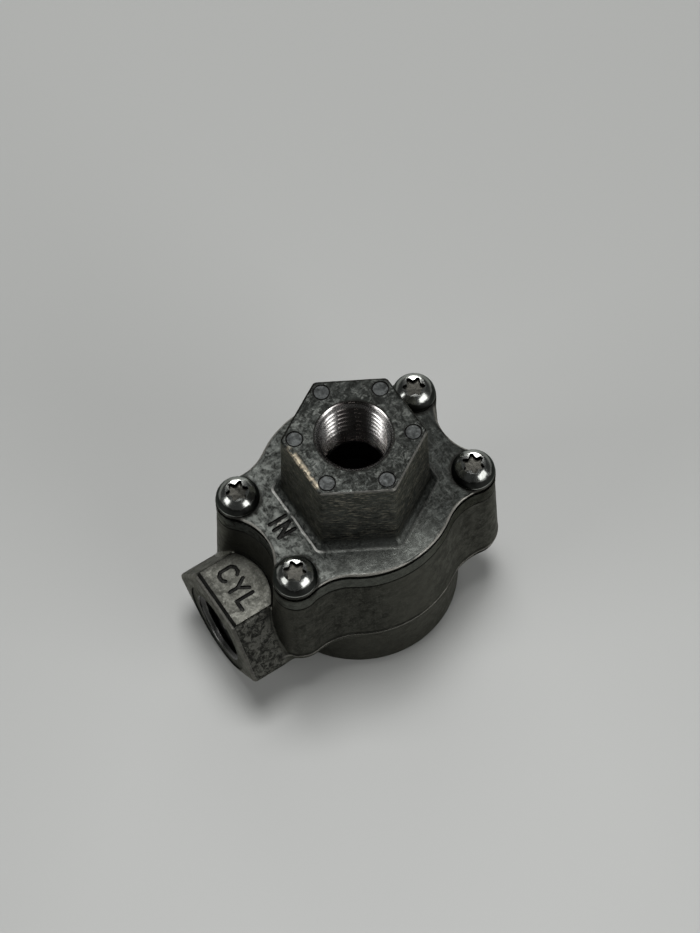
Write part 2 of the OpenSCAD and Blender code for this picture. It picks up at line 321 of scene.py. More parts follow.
@dataclass(frozen=True)
class Outline:
    """Plan of the flange: a disc with four ears, all blended. Sizes in millimetres.

    A band's corners that grow less than rough_within are made uneven, by steps measured over probe.
    """

    flange_r: float = 18.0
    ear_x: float = 18.8
    ear_y: float = 9.4
    ear_r: float = 4.1
    blend_r: float = 9.2
    steps: tuple[int, int, int, int] = (16, 28, 18, 16)
    rough_within: float = 1.5
    probe: float = 0.5
    rough_lift: float = 0.5

    @property
    def ears(self) -> list[Pair]:
        """Return the four ear centres."""
        return [(sx * self.ear_x, sy * self.ear_y) for sx in (-1, 1) for sy in (-1, 1)]

    def ring(self, z: float, grow: float = 0.0, blend: float | None = None) -> np.ndarray:
        """Return the outline at a height, grown outwards all round.

        Args:
            z: Height of the ring.
            grow: How far it is grown.
            blend: Radius of the blends before growing, if not the usual one.

        Returns:
            The ring's points, counter-clockwise.
        """
        blend = self.blend_r if blend is None else blend
        ear = np.array([self.ear_x, self.ear_y])
        neck = np.array([self.ear_x + math.sqrt((blend + self.ear_r) ** 2 - self.ear_y**2), 0.0])
        reach = self.flange_r + blend
        far = float(np.hypot(*ear))
        turn = math.acos((reach**2 + far**2 - (blend + self.ear_r) ** 2) / (2 * reach * far))
        side_angle = math.atan2(self.ear_y, self.ear_x) + turn
        side = reach * np.array([math.cos(side_angle), math.sin(side_angle)])
        ear_end = self._bearing(ear, side)
        side_start = self._bearing(side, ear) + 2 * math.pi
        quarter = np.concatenate(
            [
                self._arc(neck, blend - grow, math.pi, self._bearing(neck, ear), self.steps[0]),
                self._arc(ear, self.ear_r + grow, self._bearing(ear, neck), ear_end, self.steps[1]),
                self._arc(side, blend - grow, side_start, side_angle + math.pi, self.steps[2]),
                self._arc(np.zeros(2), self.flange_r + grow, side_angle, math.pi / 2, self.steps[3]),
            ]
        )
        top = np.array([[0.0, self.flange_r + grow]])
        left = quarter[::-1] * [-1, 1]
        upper = np.concatenate([quarter, top, left])
        lower = upper[1:-1][::-1] * [1, -1]
        plan = np.concatenate([upper, lower])
        return np.concatenate([plan, np.full((len(plan), 1), z)], axis=1)

    def band(
        self, name: str, rows: list[Pair], blend: float | None = None, rough: float = 0.0, seed: int = 1
    ) -> Piece:
        """Sweep a closed section round the outline.

        Args:
            name: Name of the new object.
            rows: Growth and height of each corner of the section.
            blend: Radius of the outline's blends, if not the usual one.
            rough: Usual unevenness of the corners that lie inside the outline's wall.
            seed: Number that the unevenness starts from.

        Returns:
            The swept ring.
        """
        rings = []
        for number, (grow, z) in enumerate(rows):
            ring = self.ring(z, grow, blend)
            if rough and grow < self.rough_within:
                outward = ring - self.ring(z, grow - self.probe, blend)
                offset = jagged(len(ring), rough, seed + number)[:, None]
                ring = ring + outward / self.probe * offset + [0.0, 0.0, self.rough_lift] * offset
            rings.append(ring)
        rings.append(rings[0])
        return skin(name, np.stack(rings))

    @staticmethod
    def _bearing(start: np.ndarray, end: np.ndarray) -> float:
        """Return the direction from one point to another."""
        return math.atan2(end[1] - start[1], end[0] - start[0])

    @staticmethod
    def _arc(centre: np.ndarray, radius: float, start: float, end: float, steps: int) -> np.ndarray:
        """Return points along an arc, without its last point."""
        turn = start + (end - start) * np.arange(steps) / steps
        return centre + radius * np.stack([np.cos(turn), np.sin(turn)], axis=1)


@dataclass(frozen=True)
class Hexagon:
    """A hexagon with rounded corners and two flats across the Y axis."""

    corner_r: float = 0.9
    corner_steps: int = 6

    def ring(self, across_flats: float, z: float, turned: bool = False) -> np.ndarray:
        """Return the hexagon's points at a height.

        Args:
            across_flats: Distance between opposite flats.
            z: Height of the ring.
            turned: Whether two flats face along the X axis instead.

        Returns:
            The ring's points, counter-clockwise.
        """
        points = []
        shift = math.pi / 6 if turned else 0.0
        reach = (across_flats / 2 - self.corner_r) / math.cos(math.pi / 6)
        for corner in range(6):
            middle = corner * math.pi / 3 + shift
            for step in range(self.corner_steps + 1):
                turn = middle - math.pi / 6 + math.pi / 3 * step / self.corner_steps
                points.append(
                    (
                        reach * math.cos(middle) + self.corner_r * math.cos(turn),
                        reach * math.sin(middle) + self.corner_r * math.sin(turn),
                        z,
                    )
                )
        return np.array(points)


@dataclass(frozen=True)
class PipePort:
    """A countersunk port with a tapered pipe thread and a plain passage past it."""

    name: str
    look: Look
    mouth: Triple
    mouth_r: float
    minor_r: float
    major_r: float
    thread_depth: float
    passage_r: float
    passage_depth: float
    surface: Surface = Surface.THREAD
    relief_r: float = 5.45
    relief_depth: float = 5.0
    pitch: float = 1.411
    taper: float = 1 / 32
    steps: int = 96
    rows_per_pitch: int = 12
    flat_share: float = 0.08
    runout_turns: float = 1.5

    def cutter(self) -> Piece:
        """Return the solid that leaves this port when it is cut out of a casting."""
        turn = np.arange(self.steps) * 2 * math.pi / self.steps
        rings = [circle(self.passage_r, -self.passage_depth, self.steps)]
        rings.append(circle(self.passage_r, -self.thread_depth - self.relief_depth, self.steps))
        for step in (0.9, 0.06):
            depth = self.thread_depth + step * self.relief_depth
            rings.append(circle(self.relief_r, -depth, self.steps))
        heights = np.arange(-self.thread_depth, 0.0, self.pitch / self.rows_per_pitch)
        for z in heights:
            wave = np.mod(z / self.pitch - turn / (2 * math.pi), 1.0)
            rise = 1 - np.abs(2 * wave - 1) - self.flat_share
            flank = np.clip(rise / (1 - 2 * self.flat_share), 0.0, 1.0)
            runout = min(1.0, (z + self.thread_depth) / (self.runout_turns * self.pitch))
            radius = self.minor_r + z * self.taper + (self.major_r - self.minor_r) * flank * runout
            radius = np.maximum(radius, self.mouth_r + z)
            level = np.full(self.steps, z)
            rings.append(np.stack([radius * np.cos(turn), radius * np.sin(turn), level], axis=1))
        rings.append(circle(self.mouth_r, 0.0, self.steps))
        rings.append(circle(self.mouth_r + 1.0, 1.0, self.steps))
        return mark(skin(self.name, self._place(np.stack(rings))), self.surface)

    def _place(self, rings: np.ndarray) -> np.ndarray:
        """Return rings that rise along +Z turned the port's way and moved to its mouth."""
        x, y, z = rings[..., 0], rings[..., 1], rings[..., 2]
        if self.look is Look.DOWN:
            turned = np.stack([x, -y, -z], axis=-1)
        elif self.look is Look.ACROSS:
            turned = np.stack([-z, y, x], axis=-1)
        else:
            turned = np.stack([x, y, z], axis=-1)
        return turned + np.array(self.mouth)


@dataclass(frozen=True)
class Stroke:
    """One straight bar of a cast marking, from end to end, in plan."""

    start: Pair
    end: Pair
    width: float

    def cutter(self, top: float, depth: float) -> Piece:
        """Return the bar as a round-ended solid that reaches down from a face.

        Args:
            top: Height of the face.
            depth: Depth of the marking.

        Returns:
            The cutter, in the slot for marked surfaces.
        """
        run = math.atan2(self.end[1] - self.start[1], self.end[0] - self.start[0])
        half = self.width / 2
        plan = []
        for centre, turn in ((self.end, run), (self.start, run + math.pi)):
            for step in range(7):
                angle = turn - math.pi / 2 + math.pi * step / 6
                plan.append((centre[0] + half * math.cos(angle), centre[1] + half * math.sin(angle)))
        middle = np.mean(plan, axis=0)
        rings = []
        for z, share in ((top - depth, 0.62), (top - depth * 0.15, 0.97), (top + 0.5, 1.1)):
            level = []
            for point in plan:
                level.append((*self._towards(point, middle, run, share), z))
            rings.append(level)
        return mark(skin("marking", np.array(rings)), Surface.MARKED)

    @staticmethod
    def _towards(point: Pair, middle: np.ndarray, run: float, share: float) -> Pair:
        """Return a point drawn in or out across the bar, so that its sides slope."""
        across = (-math.sin(run), math.cos(run))
        offset = (point[0] - middle[0]) * across[0] + (point[1] - middle[1]) * across[1]
        slide = offset * (share - 1)
        return point[0] + across[0] * slide, point[1] + across[1] * slide


@dataclass(frozen=True)
class Marking:
    """A line of plain port lettering made of strokes. Letters are drawn in shares of their height."""

    corner: Pair
    height: float
    gap: float
    width: float

    LETTERS: ClassVar[dict[str, list[list[Pair]]]] = {
        "I": [[(0.0, 0.0), (0.0, 1.0)]],
        "N": [[(0.0, 0.0), (0.0, 1.0), (0.52, 0.0), (0.52, 1.0)]],
        "C": [
            [(0.6, 0.86), (0.45, 1.0), (0.17, 1.0), (0.0, 0.82)]
            + [(0.0, 0.18), (0.17, 0.0), (0.45, 0.0), (0.6, 0.14)]
        ],
        "Y": [[(0.0, 1.0), (0.33, 0.48), (0.66, 1.0)], [(0.33, 0.48), (0.33, 0.0)]],
        "L": [[(0.0, 1.0), (0.0, 0.0), (0.58, 0.0)]],
    }

    def cutters(self, text: str, top: float, depth: float) -> list[Piece]:
        """Return the lettering as one solid, reading along -Y with its tops towards +X.

        Args:
            text: The letters.
            top: Height of the face that they are sunk into.
            depth: Their depth.

        Returns:
            A list with the fused cutter.
        """
        bars = []
        along = 0.0
        for letter in text:
            lines = self.LETTERS[letter]
            for line in lines:
                for start, end in zip(line, line[1:]):
                    stroke = Stroke(self._place(start, along), self._place(end, along), self.width)
                    bars.append(stroke.cutter(top, depth))
            along += self.height * max(x for line in lines for x, _ in line) + self.gap
        first, *others = bars
        add(first, others)
        return [first]

    def _place(self, point: Pair, along: float) -> Pair:
        """Return a letter's point in plan."""
        return self.corner[0] + point[1] * self.height, self.corner[1] - along - point[0] * self.height


@dataclass(frozen=True)
class Tones:
    """Colours of a finish, from dark to light, and a lighter tone for its smooth hollows that is partly a
    painted sheen, as linear values.
    """

    dark: Colour
    middle: Colour
    light: Colour
    smooth: Colour


def new_group(name: str, inputs: dict[str, float], outputs: list[str]) -> bpy.types.NodeTree:
    """Return an empty shader node group with value sockets, its coordinates and its ends.

    Args:
        name: Name of the group.
        inputs: Value inputs with their defaults.
        outputs: Names of the value outputs.

    Returns:
        The new node tree.
    """
    tree = bpy.data.node_groups.new(name, "ShaderNodeTree")
    for key, default in inputs.items():
        socket = tree.interface.new_socket(key, in_out="INPUT", socket_type="NodeSocketFloat")
        socket.default_value = default
    for key in outputs:
        tree.interface.new_socket(key, in_out="OUTPUT", socket_type="NodeSocketFloat")
    tree.nodes.new("NodeGroupInput")
    tree.nodes.new("NodeGroupOutput")
    return tree


class Wiring:
    """Adds and links nodes in one tree with few words."""

    def __init__(self, tree: bpy.types.NodeTree) -> None:
        """Keep the tree that the nodes go into and read the surface's coordinates once."""
        self.tree = tree
        self.place = self.node("ShaderNodeTexCoord").outputs["Object"]
        self.axes = self.apart(self.place)

    def node(self, kind: str, links: dict | None = None, **settings: object) -> bpy.types.Node:
        """Add a node, set its properties, and fill its inputs.

        Args:
            kind: The node's type name.
            links: Input names or numbers, each with a value or an output socket.
            settings: Properties of the node itself.

        Returns:
            The new node.
        """
        made = self.tree.nodes.new(kind)
        for key, value in settings.items():
            setattr(made, key, value)
        for key, value in (links or {}).items():
            if isinstance(value, Socket):
                self.tree.links.new(value, made.inputs[key])
            else:
                made.inputs[key].default_value = value
        return made

    def group(self, tree: bpy.types.NodeTree, values: dict[str, float] | None = None) -> Outputs:
        """Place a node group with its own values and return its outputs."""
        placed = self.node("ShaderNodeGroup", node_tree=tree)
        for key, value in (values or {}).items():
            placed.inputs[key].default_value = value
        return placed.outputs

    def noise(
        self, scale: object, detail: float, rough: float, swirl: float = 0.0, where: Socket | None = None
    ) -> Socket:
        """Return the value of a noise pattern, at the surface's own place if no other is given."""
        links = {"Vector": self.place if where is None else where, "Scale": scale, "Detail": detail}
        links |= {"Roughness": rough, "Distortion": swirl}
        return self.node("ShaderNodeTexNoise", links).outputs["Fac"]

    def stretched(self, size: Triple, detail: float = 3.0) -> Socket:
        """Return a noise pattern with its own fineness along each axis."""
        where = self.node("ShaderNodeMapping", {"Vector": self.place, "Scale": size}).outputs[0]
        return self.noise(1.0, detail, 0.6, where=where)

    def band(self, value: Socket, low: float, high: float, soft: float) -> Socket:
        """Return 1 between two places in millimetres and 0 outside, eased over a width."""
        rise = self.between(value, (low - soft) * MM, low * MM)
        fall = self.between(value, (high + soft) * MM, high * MM)
        return self.maths("MULTIPLY", rise, fall)

    def times(self, first: object, *others: object) -> Socket:
        """Return the product of several values."""
        result = first
        for other in others:
            result = self.maths("MULTIPLY", result, other)
        return result

    def vector(self, what: str, first: object, second: object | None = None) -> Socket:
        """Return the vector that one step of vector arithmetic gives."""
        return self._vector_step(what, first, second).outputs["Vector"]

    def measure(self, what: str, first: object, second: object | None = None) -> Socket:
        """Return the number that one step of vector arithmetic gives."""
        return self._vector_step(what, first, second).outputs["Value"]

    def _vector_step(self, what: str, first: object, second: object | None) -> bpy.types.Node:
        """Add a step of vector arithmetic on one vector or two."""
        links = {0: first} if second is None else {0: first, 1: second}
        return self.node("ShaderNodeVectorMath", links, operation=what)

    def apart(self, vector: Socket) -> Outputs:
        """Return a vector's three parts."""
        return self.node("ShaderNodeSeparateXYZ", {0: vector}).outputs

    def facing(self) -> Outputs:
        """Return the three parts of the direction that the surface faces."""
        return self.apart(self.node("ShaderNodeNewGeometry").outputs["Normal"])

    def ramp(self, value: object, spread: Pair, low: object, high: object) -> Socket:
        """Return a value rescaled so that the ends of its spread give low and high."""
        links = {0: value, 1: spread[0], 2: spread[1], 3: low, 4: high}
        return self.node("ShaderNodeMapRange", links).outputs[0]

    def bump(self, height: object, strength: float, distance_mm: float) -> Socket:
        """Return the normal of a surface that is uneven by a height."""
        links = {"Strength": strength, "Distance": distance_mm * MM, "Height": height}
        return self.node("ShaderNodeBump", links).outputs["Normal"]

    def feed(
        self, shader: bpy.types.Node, colour: Socket, normal: Socket, rough: Socket | None = None
    ) -> None:
        """Link a finish's colour, its normal and, where it varies, its roughness to the shader."""
        self.tree.links.new(colour, shader.inputs["Base Color"])
        self.tree.links.new(normal, shader.inputs["Normal"])
        if rough is not None:
            self.tree.links.new(rough, shader.inputs["Roughness"])

    def between(self, value: Socket, low: object, high: object) -> Socket:
        """Return a value rescaled so that low gives 0 and high gives 1, eased."""
        links = {0: value, 1: low, 2: high, 3: 0.0, 4: 1.0}
        return self.node("ShaderNodeMapRange", links, interpolation_type="SMOOTHSTEP").outputs[0]

    def maths(self, what: str, first: object, second: object = 0.5) -> Socket:
        """Return the result of one arithmetic step."""
        return self.node("ShaderNodeMath", {0: first, 1: second}, operation=what).outputs[0]

    def lay(self, colour: object, over: object, *shares: object) -> Socket:
        """Return a colour with another laid over it, by the product of several shares."""
        return self.mix(self.times(*shares), colour, over)

    def rest(self, share: object) -> Socket:
        """Return what a share leaves of 1."""
        return self.maths("SUBTRACT", 1.0, share)

    def mix(self, share: object, first: object, second: object) -> Socket:
        """Return a colour between two colours."""
        links = {0: share, 6: first, 7: second}
        return self.node("ShaderNodeMix", links, data_type="RGBA").outputs[2]


class Effects:
    """Shader node groups that several finishes share."""

    def __init__(self) -> None:
        """Build every group once."""
        self.mottle = self._mottle()
        self.dashes = self._dashes()
        self.edges = self._edges()

    @staticmethod
    def _mottle() -> bpy.types.NodeTree:
        """Return patches, stains, flecks, specks, veins, fine grain and pits, as a casting's skin has."""
        sizes = {"Patch Scale": 800.0, "Stain Scale": 260.0, "Fleck Scale": 2300.0}
        masks = ["Patch", "Stain", "Fleck", "Speck", "Vein", "Grain", "Pits"]
        tree = new_group("cast_mottle", sizes, masks)
        wire = Wiring(tree)
        given = tree.nodes["Group Input"].outputs
        patch = wire.noise(given["Patch Scale"], 6.0, 0.66, 0.5)
        stain = wire.noise(given["Stain Scale"], 6.0, 0.7, 0.8)
        fleck = wire.noise(given["Fleck Scale"], 4.0, 0.68, 0.4)
        lines = wire.noise(700.0, 6.0, 0.66, 0.8)
        vein = wire.maths("ABSOLUTE", wire.maths("SUBTRACT", lines, 0.5))
        speck = wire.noise(1900.0, 4.0, 0.7, 0.6)
        grain = wire.noise(5200.0, 2.0, 0.6)
        links = {"Vector": wire.place, "Scale": 1300.0, "Randomness": 1.0}
        cells = wire.node("ShaderNodeTexVoronoi", links).outputs["Distance"]
        spread = wire.between(wire.noise(330.0, 2.0, 0.5), 0.54, 0.68)
        ends = tree.nodes["Group Output"].inputs
        tree.links.new(wire.between(patch, 0.36, 0.64), ends["Patch"])
        tree.links.new(wire.between(stain, 0.48, 0.64), ends["Stain"])
        tree.links.new(wire.between(fleck, 0.46, 0.68), ends["Fleck"])
        tree.links.new(wire.between(speck, 0.53, 0.64), ends["Speck"])
        tree.links.new(wire.between(vein, 0.035, 0.006), ends["Vein"])
        tree.links.new(grain, ends["Grain"])
        tree.links.new(wire.times(wire.between(cells, 0.26, 0.08), spread), ends["Pits"])
        return tree

    @staticmethod
    def _dashes() -> bpy.types.NodeTree:
        """Return short level dashes, as a casting drags along its die when it leaves it."""
        tree = new_group("drag_dashes", {"From": 0.52, "To": 0.66}, ["Dark", "Light", "Wall"])
        wire = Wiring(tree)
        given = tree.nodes["Group Input"].outputs
        wall = wire.between(wire.maths("ABSOLUTE", wire.facing()["Z"]), 0.6, 0.25)
        lines = wire.stretched((420.0, 420.0, 2500.0), 4.0)
        finer = wire.stretched((700.0, 700.0, 4200.0), 3.0)
        ends = tree.nodes["Group Output"].inputs
        tree.links.new(wire.times(wire.between(lines, given["From"], given["To"]), wall), ends["Dark"])
        tree.links.new(wire.times(wire.between(finer, given["From"], given["To"]), wall), ends["Light"])
        tree.links.new(wall, ends["Wall"])
        return tree

    @staticmethod
    def _edges() -> bpy.types.NodeTree:
        """Return worn edges, ridges, mild hollows, and deep creases to darken for grime and painted shade,
        from the stored edge values.
        """
        limits = {"Worn From": 0.55, "Worn To": 1.3, "Dark Creases From": -0.8}
        tree = new_group("edge_wear", limits, ["Worn", "Ridge", "Dirt", "Hollow"])
        wire = Wiring(tree)
        given = tree.nodes["Group Input"].outputs
        edge = wire.node("ShaderNodeAttribute", attribute_name="edge").outputs["Fac"]
        uneven = wire.between(wire.noise(260.0, 5.0, 0.7), 0.4, 0.66)
        worn = wire.between(edge, given["Worn From"], given["Worn To"])
        dirt = wire.between(edge, given["Dark Creases From"], -1.7)
        ends = tree.nodes["Group Output"].inputs
        tree.links.new(wire.times(worn, uneven), ends["Worn"])
        tree.links.new(wire.between(edge, 0.45, 1.0), ends["Ridge"])
        tree.links.new(dirt, ends["Dirt"])
        tree.links.new(wire.between(edge, -0.16, -0.42), ends["Hollow"])
        return tree


def new_material(name: str) -> tuple[Material, Wiring, bpy.types.Node]:
    """Return a fresh material with its wiring and its Principled shader."""
    material = bpy.data.materials.new(name)
    material.use_nodes = True
    shader = material.node_tree.nodes["Principled BSDF"]
    return material, Wiring(material.node_tree), shader


@dataclass(frozen=True)
class CastFinish:
    """Dark, oily die-cast aluminium with stains, flecks and worn edges, its deep creases darkened for grime
    and painted shade, and its mild hollows lightened partly as a painted sheen.

    Shares say how strongly a mark covers the colour, and slant tints what is seen at a flat angle.
    """

    name: str
    tones: Tones
    worn: Colour = (0.34, 0.33, 0.3, 1.0)
    dirt: Colour = (0.006, 0.006, 0.0055, 1.0)
    patch_scale: float = 800.0
    fleck_scale: float = 2300.0
    fleck_share: float = 0.45
    speck_share: float = 0.6
    vein_share: float = 0.12
    stain_share: float = 0.7
    worn_share: float = 0.35
    hollow_share: float = 0.6
    pit_share: float = 0.85
    dark_crease_share: float = 0.9
    metallic: float = 0.85
    rough_low: float = 0.36
    rough_high: float = 0.56
    rough_hollow: float = 0.27
    bump: float = 0.55
    slant: Colour = (0.62, 0.62, 0.54, 1.0)

    def material(self, effects: Effects) -> Material:
        """Return the finish as a material."""
        material, wire, shader = new_material(self.name)
        scales = {"Patch Scale": self.patch_scale, "Fleck Scale": self.fleck_scale}
        mottle = wire.group(effects.mottle, scales)
        edges = wire.group(effects.edges)
        light = self.tones.light
        colour = wire.mix(mottle["Patch"], self.tones.dark, self.tones.middle)
        colour = wire.lay(colour, light, mottle["Fleck"], self.fleck_share)
        colour = wire.lay(colour, self.tones.dark, mottle["Stain"], self.stain_share)
        colour = wire.lay(colour, light, mottle["Vein"], self.vein_share)
        colour = wire.lay(colour, self.tones.dark, mottle["Speck"], self.speck_share)
        colour = wire.lay(colour, self.dirt, mottle["Pits"], self.pit_share)
        # Mild hollows take a lighter, even tone: smoother skin, with a painted sheen.
        colour = wire.lay(colour, self.tones.smooth, edges["Hollow"], self.hollow_share)
        colour = wire.lay(colour, self.worn, edges["Worn"], self.worn_share)
        colour = self.zones(wire, effects, mottle, colour)
        # Deep creases are darkened, partly grime and partly painted shade.
        colour = wire.lay(colour, self.dirt, edges["Dirt"], self.dark_crease_share)
        total = wire.maths("ADD", mottle["Patch"], mottle["Grain"])
        rough = wire.ramp(total, (0.2, 1.6), self.rough_high, self.rough_low)
        fair = wire.rest(wire.times(edges["Hollow"], 0.75))
        sheen = wire.ramp(fair, (0.25, 1.0), self.rough_hollow, rough)
        height = wire.maths("ADD", wire.times(mottle["Grain"], 0.16), wire.times(mottle["Fleck"], 0.35))
        height = wire.maths("ADD", height, wire.times(mottle["Patch"], 0.8))
        height = wire.maths("SUBTRACT", height, wire.times(mottle["Pits"], 1.0))
        height = wire.times(height, fair)
        wire.feed(shader, colour, wire.bump(height, self.bump, 0.05), sheen)
        shader.inputs["Metallic"].default_value = self.metallic
        shader.inputs["Specular Tint"].default_value = self.slant
        return material

    def zones(self, wire: Wiring, effects: Effects, mottle: Outputs, colour: Socket) -> Socket:
        """Return the colour unchanged; a casting's own finish adds its places here."""
        return colour


@dataclass(frozen=True)
class CoverFinish(CastFinish):
    """The cover's finish, with drag marks on the hexagon, grime at the joint, dark marks at edges and round
    the screws, and painted light, shade and highlights on its plate and hexagon.
    """

    tones: Tones = Tones(
        dark=(0.006, 0.0066, 0.0062, 1.0),
        middle=(0.039, 0.0427, 0.0402, 1.0),
        light=(0.14, 0.147, 0.136, 1.0),
        smooth=(0.07, 0.074, 0.068, 1.0),
    )
    joint_z: float = JOINT_Z
    top_z: float = PLATE_TOP_Z
    hex_top_z: float = INLET_TOP_Z
    hex_half: float = 11.1
    port_ring: Pair = (6.7, 7.02)
    screw: Pair = (18.8, 9.4)
    dark_ring_r: float = 4.25
    rubbed: Colour = (0.62, 0.53, 0.39, 1.0)
    brown: Colour = (0.31, 0.29, 0.235, 1.0)
    root_glint: Colour = (0.5, 0.5, 0.47, 1.0)

    def zones(self, wire: Wiring, effects: Effects, mottle: Outputs, colour: Socket) -> Socket:
        """Return the colour with the cover's own marks and its painted light and shade.

        Args:
            wire: Wiring of the material.
            effects: The shared effects.
            mottle: Outputs of the mottle group.
            colour: Colour so far.

        Returns:
            The new colour.
        """
        x, y, z = wire.axes
        light = self.tones.light
        dark = self.tones.dark
        edges = wire.group(effects.edges)
        dashes = wire.group(effects.dashes)
        plate = wire.between(z, (self.top_z + 4) * MM, (self.top_z + 1) * MM)
        streaks = self._streaks(wire)
        colour = wire.lay(colour, light, streaks, 0.35)
        # Painted light and shade across the plate: lighter towards -X and at the front left, darker towards
        # +X.
        paler = wire.times(wire.between(x, 2 * MM, -19 * MM), mottle["Patch"], plate, 0.45)
        colour = wire.mix(paler, colour, light)
        painted_front_light = wire.times(wire.between(y, -8 * MM, -14 * MM), wire.between(x, 10 * MM, 3 * MM))
        colour = wire.lay(colour, light, painted_front_light, plate, 0.42)
        colour = wire.lay(colour, dark, wire.between(x, 1 * MM, 13 * MM), plate, 0.6)
        # Painted highlight: a bright line in the pale edge colour along the plate's rounded upper edge.
        lip = wire.times(wire.band(z, self.top_z - 0.36, self.top_z + 0.1, 0.05), edges["Ridge"])
        colour = wire.lay(colour, self.worn, lip, 0.8)
        tall = wire.between(z, (self.top_z + 1.0) * MM, (self.top_z + 2.4) * MM)
        # Painted light: the hexagon's walls are lifted towards the light tone.
        colour = wire.lay(colour, light, dashes["Wall"], tall, 0.2)
        scrapes = wire.between(wire.noise(190.0, 4.0, 0.6), 0.4, 0.6)
        scraped = wire.maths("ADD", wire.times(scrapes, 0.5), 0.5)
        colour = wire.lay(colour, self.brown, dashes["Light"], tall, scraped)
        low = wire.between(z, (self.top_z + 13) * MM, (self.top_z + 3) * MM)
        share = wire.maths("ADD", wire.times(low, 0.4), 0.55)
        colour = wire.lay(colour, self.dirt, dashes["Dark"], tall, share)
        colour = self._hexagon_top(wire, edges, colour)
        # Painted glint: a broken bright line at the foot of the hexagon's root fillet, strongest on the -X
        # side.
        root = wire.band(z, self.top_z + 0.015, self.top_z + 0.1, 0.03)
        broken = wire.between(wire.noise(420.0, 5.0, 0.75), 0.34, 0.52)
        beside = wire.between(wire.maths("ABSOLUTE", y), 8.4 * MM, 7.2 * MM)
        share = wire.maths("ADD", wire.times(wire.between(x, -5 * MM, -8 * MM), beside, 0.75), 0.1)
        colour = wire.lay(colour, self.root_glint, root, broken, share)
        colour = wire.lay(colour, self.dirt, self._round_screws(wire), 0.9)
        groove = wire.band(z, self.top_z - 1.34, self.top_z - 0.42, 0.08)
        joint = wire.between(z, (self.joint_z + 0.4) * MM, (self.joint_z + 0.12) * MM)
        return wire.lay(colour, self.dirt, wire.maths("MAXIMUM", groove, joint), 0.92)

    def _streaks(self, wire: Wiring) -> Socket:
        """Return fine streaks that follow the plate's four sides."""
        out = wire.apart(wire.vector("ABSOLUTE", wire.place))
        front = wire.between(wire.maths("SUBTRACT", out["Y"], out["X"]), -3 * MM, 3 * MM)
        along_y = wire.between(wire.stretched((2000.0, 330.0, 2000.0), 4.0), 0.5, 0.66)
        along_x = wire.between(wire.stretched((330.0, 2000.0, 2000.0), 4.0), 0.5, 0.66)
        sides = wire.times(along_y, wire.rest(front))
        return wire.maths("ADD", sides, wire.times(along_x, front))

    def _hexagon_top(self, wire: Wiring, edges: Outputs, colour: Socket) -> Socket:
        """Return the colour with the hexagon's painted shade and painted ridge light, its rubbed edge and
        the rings round its port.

        Args:
            wire: Wiring of the material.
            edges: Outputs of the edge group.
            colour: Colour so far.

        Returns:
            The new colour.
        """
        x, y, z = wire.axes
        high = wire.between(z, (self.top_z + 3) * MM, (self.top_z + 5) * MM)
        normal = wire.facing()
        forward = wire.times(wire.between(normal["Y"], -0.15, -0.35), wire.between(normal["Z"], 0.2, 0.4))
        away = wire.rest(forward)
        upward = wire.between(normal["Z"], 0.5, 0.8)
        # Painted shade: the hexagon's top darkens towards +X.
        shade = wire.times(wire.between(x, -9 * MM, -2 * MM), upward, high, 0.6)
        colour = wire.mix(shade, colour, self.tones.dark)
        level = wire.between(z, (self.hex_top_z - 0.3) * MM, (self.hex_top_z - 0.1) * MM)
        scuff = wire.between(wire.noise(900.0, 5.0, 0.75, 0.8), 0.5, 0.62)
        colour = wire.lay(colour, self.tones.light, scuff, level, 0.45)
        scar = wire.between(wire.noise(620.0, 6.0, 0.75, 1.0), 0.5, 0.57)
        colour = wire.lay(colour, self.tones.dark, scar, level, 0.75)
        # Ridges on the hexagon: those facing away are darkened as a painted dark reflection, those facing
        # the front are lighter, wear with a painted highlight.
        colour = wire.lay(colour, self.dirt, edges["Ridge"], high, away, 0.85)
        colour = wire.lay(colour, self.worn, edges["Ridge"], high, forward, 0.4)
        rub = wire.times(
            wire.between(x, (1.25 - self.hex_half) * MM, (0.35 - self.hex_half) * MM),
            wire.between(z, (self.hex_top_z - 0.55) * MM, (self.hex_top_z - 0.15) * MM),
            wire.between(wire.maths("ABSOLUTE", wire.maths("ADD", y, 0.4 * MM)), 5.4 * MM, 3.4 * MM),
            wire.between(wire.noise(620.0, 5.0, 0.75), 0.4, 0.62),
        )
        colour = wire.lay(colour, self.rubbed, rub, 0.75)
        out = wire.measure("LENGTH", wire.vector("MULTIPLY", wire.place, LEVEL))
        ring = wire.times(wire.band(out, *self.port_ring, 0.08), high)
        return wire.lay(colour, self.dirt, ring, 0.85)

    def _round_screws(self, wire: Wiring) -> Socket:
        """Return where the plate is darker in an uneven ring round the screw heads."""
        centre = (self.screw[0] * MM, self.screw[1] * MM, self.top_z * MM)
        near = wire.measure("DISTANCE", wire.vector("ABSOLUTE", wire.place), centre)
        wave = wire.maths("SUBTRACT", wire.noise(500.0, 3.0, 0.6), 0.5)
        reach = wire.maths("ADD", near, wire.times(wave, 1.6 * MM))
        return wire.between(reach, (self.dark_ring_r + 0.45) * MM, (self.dark_ring_r - 0.15) * MM)


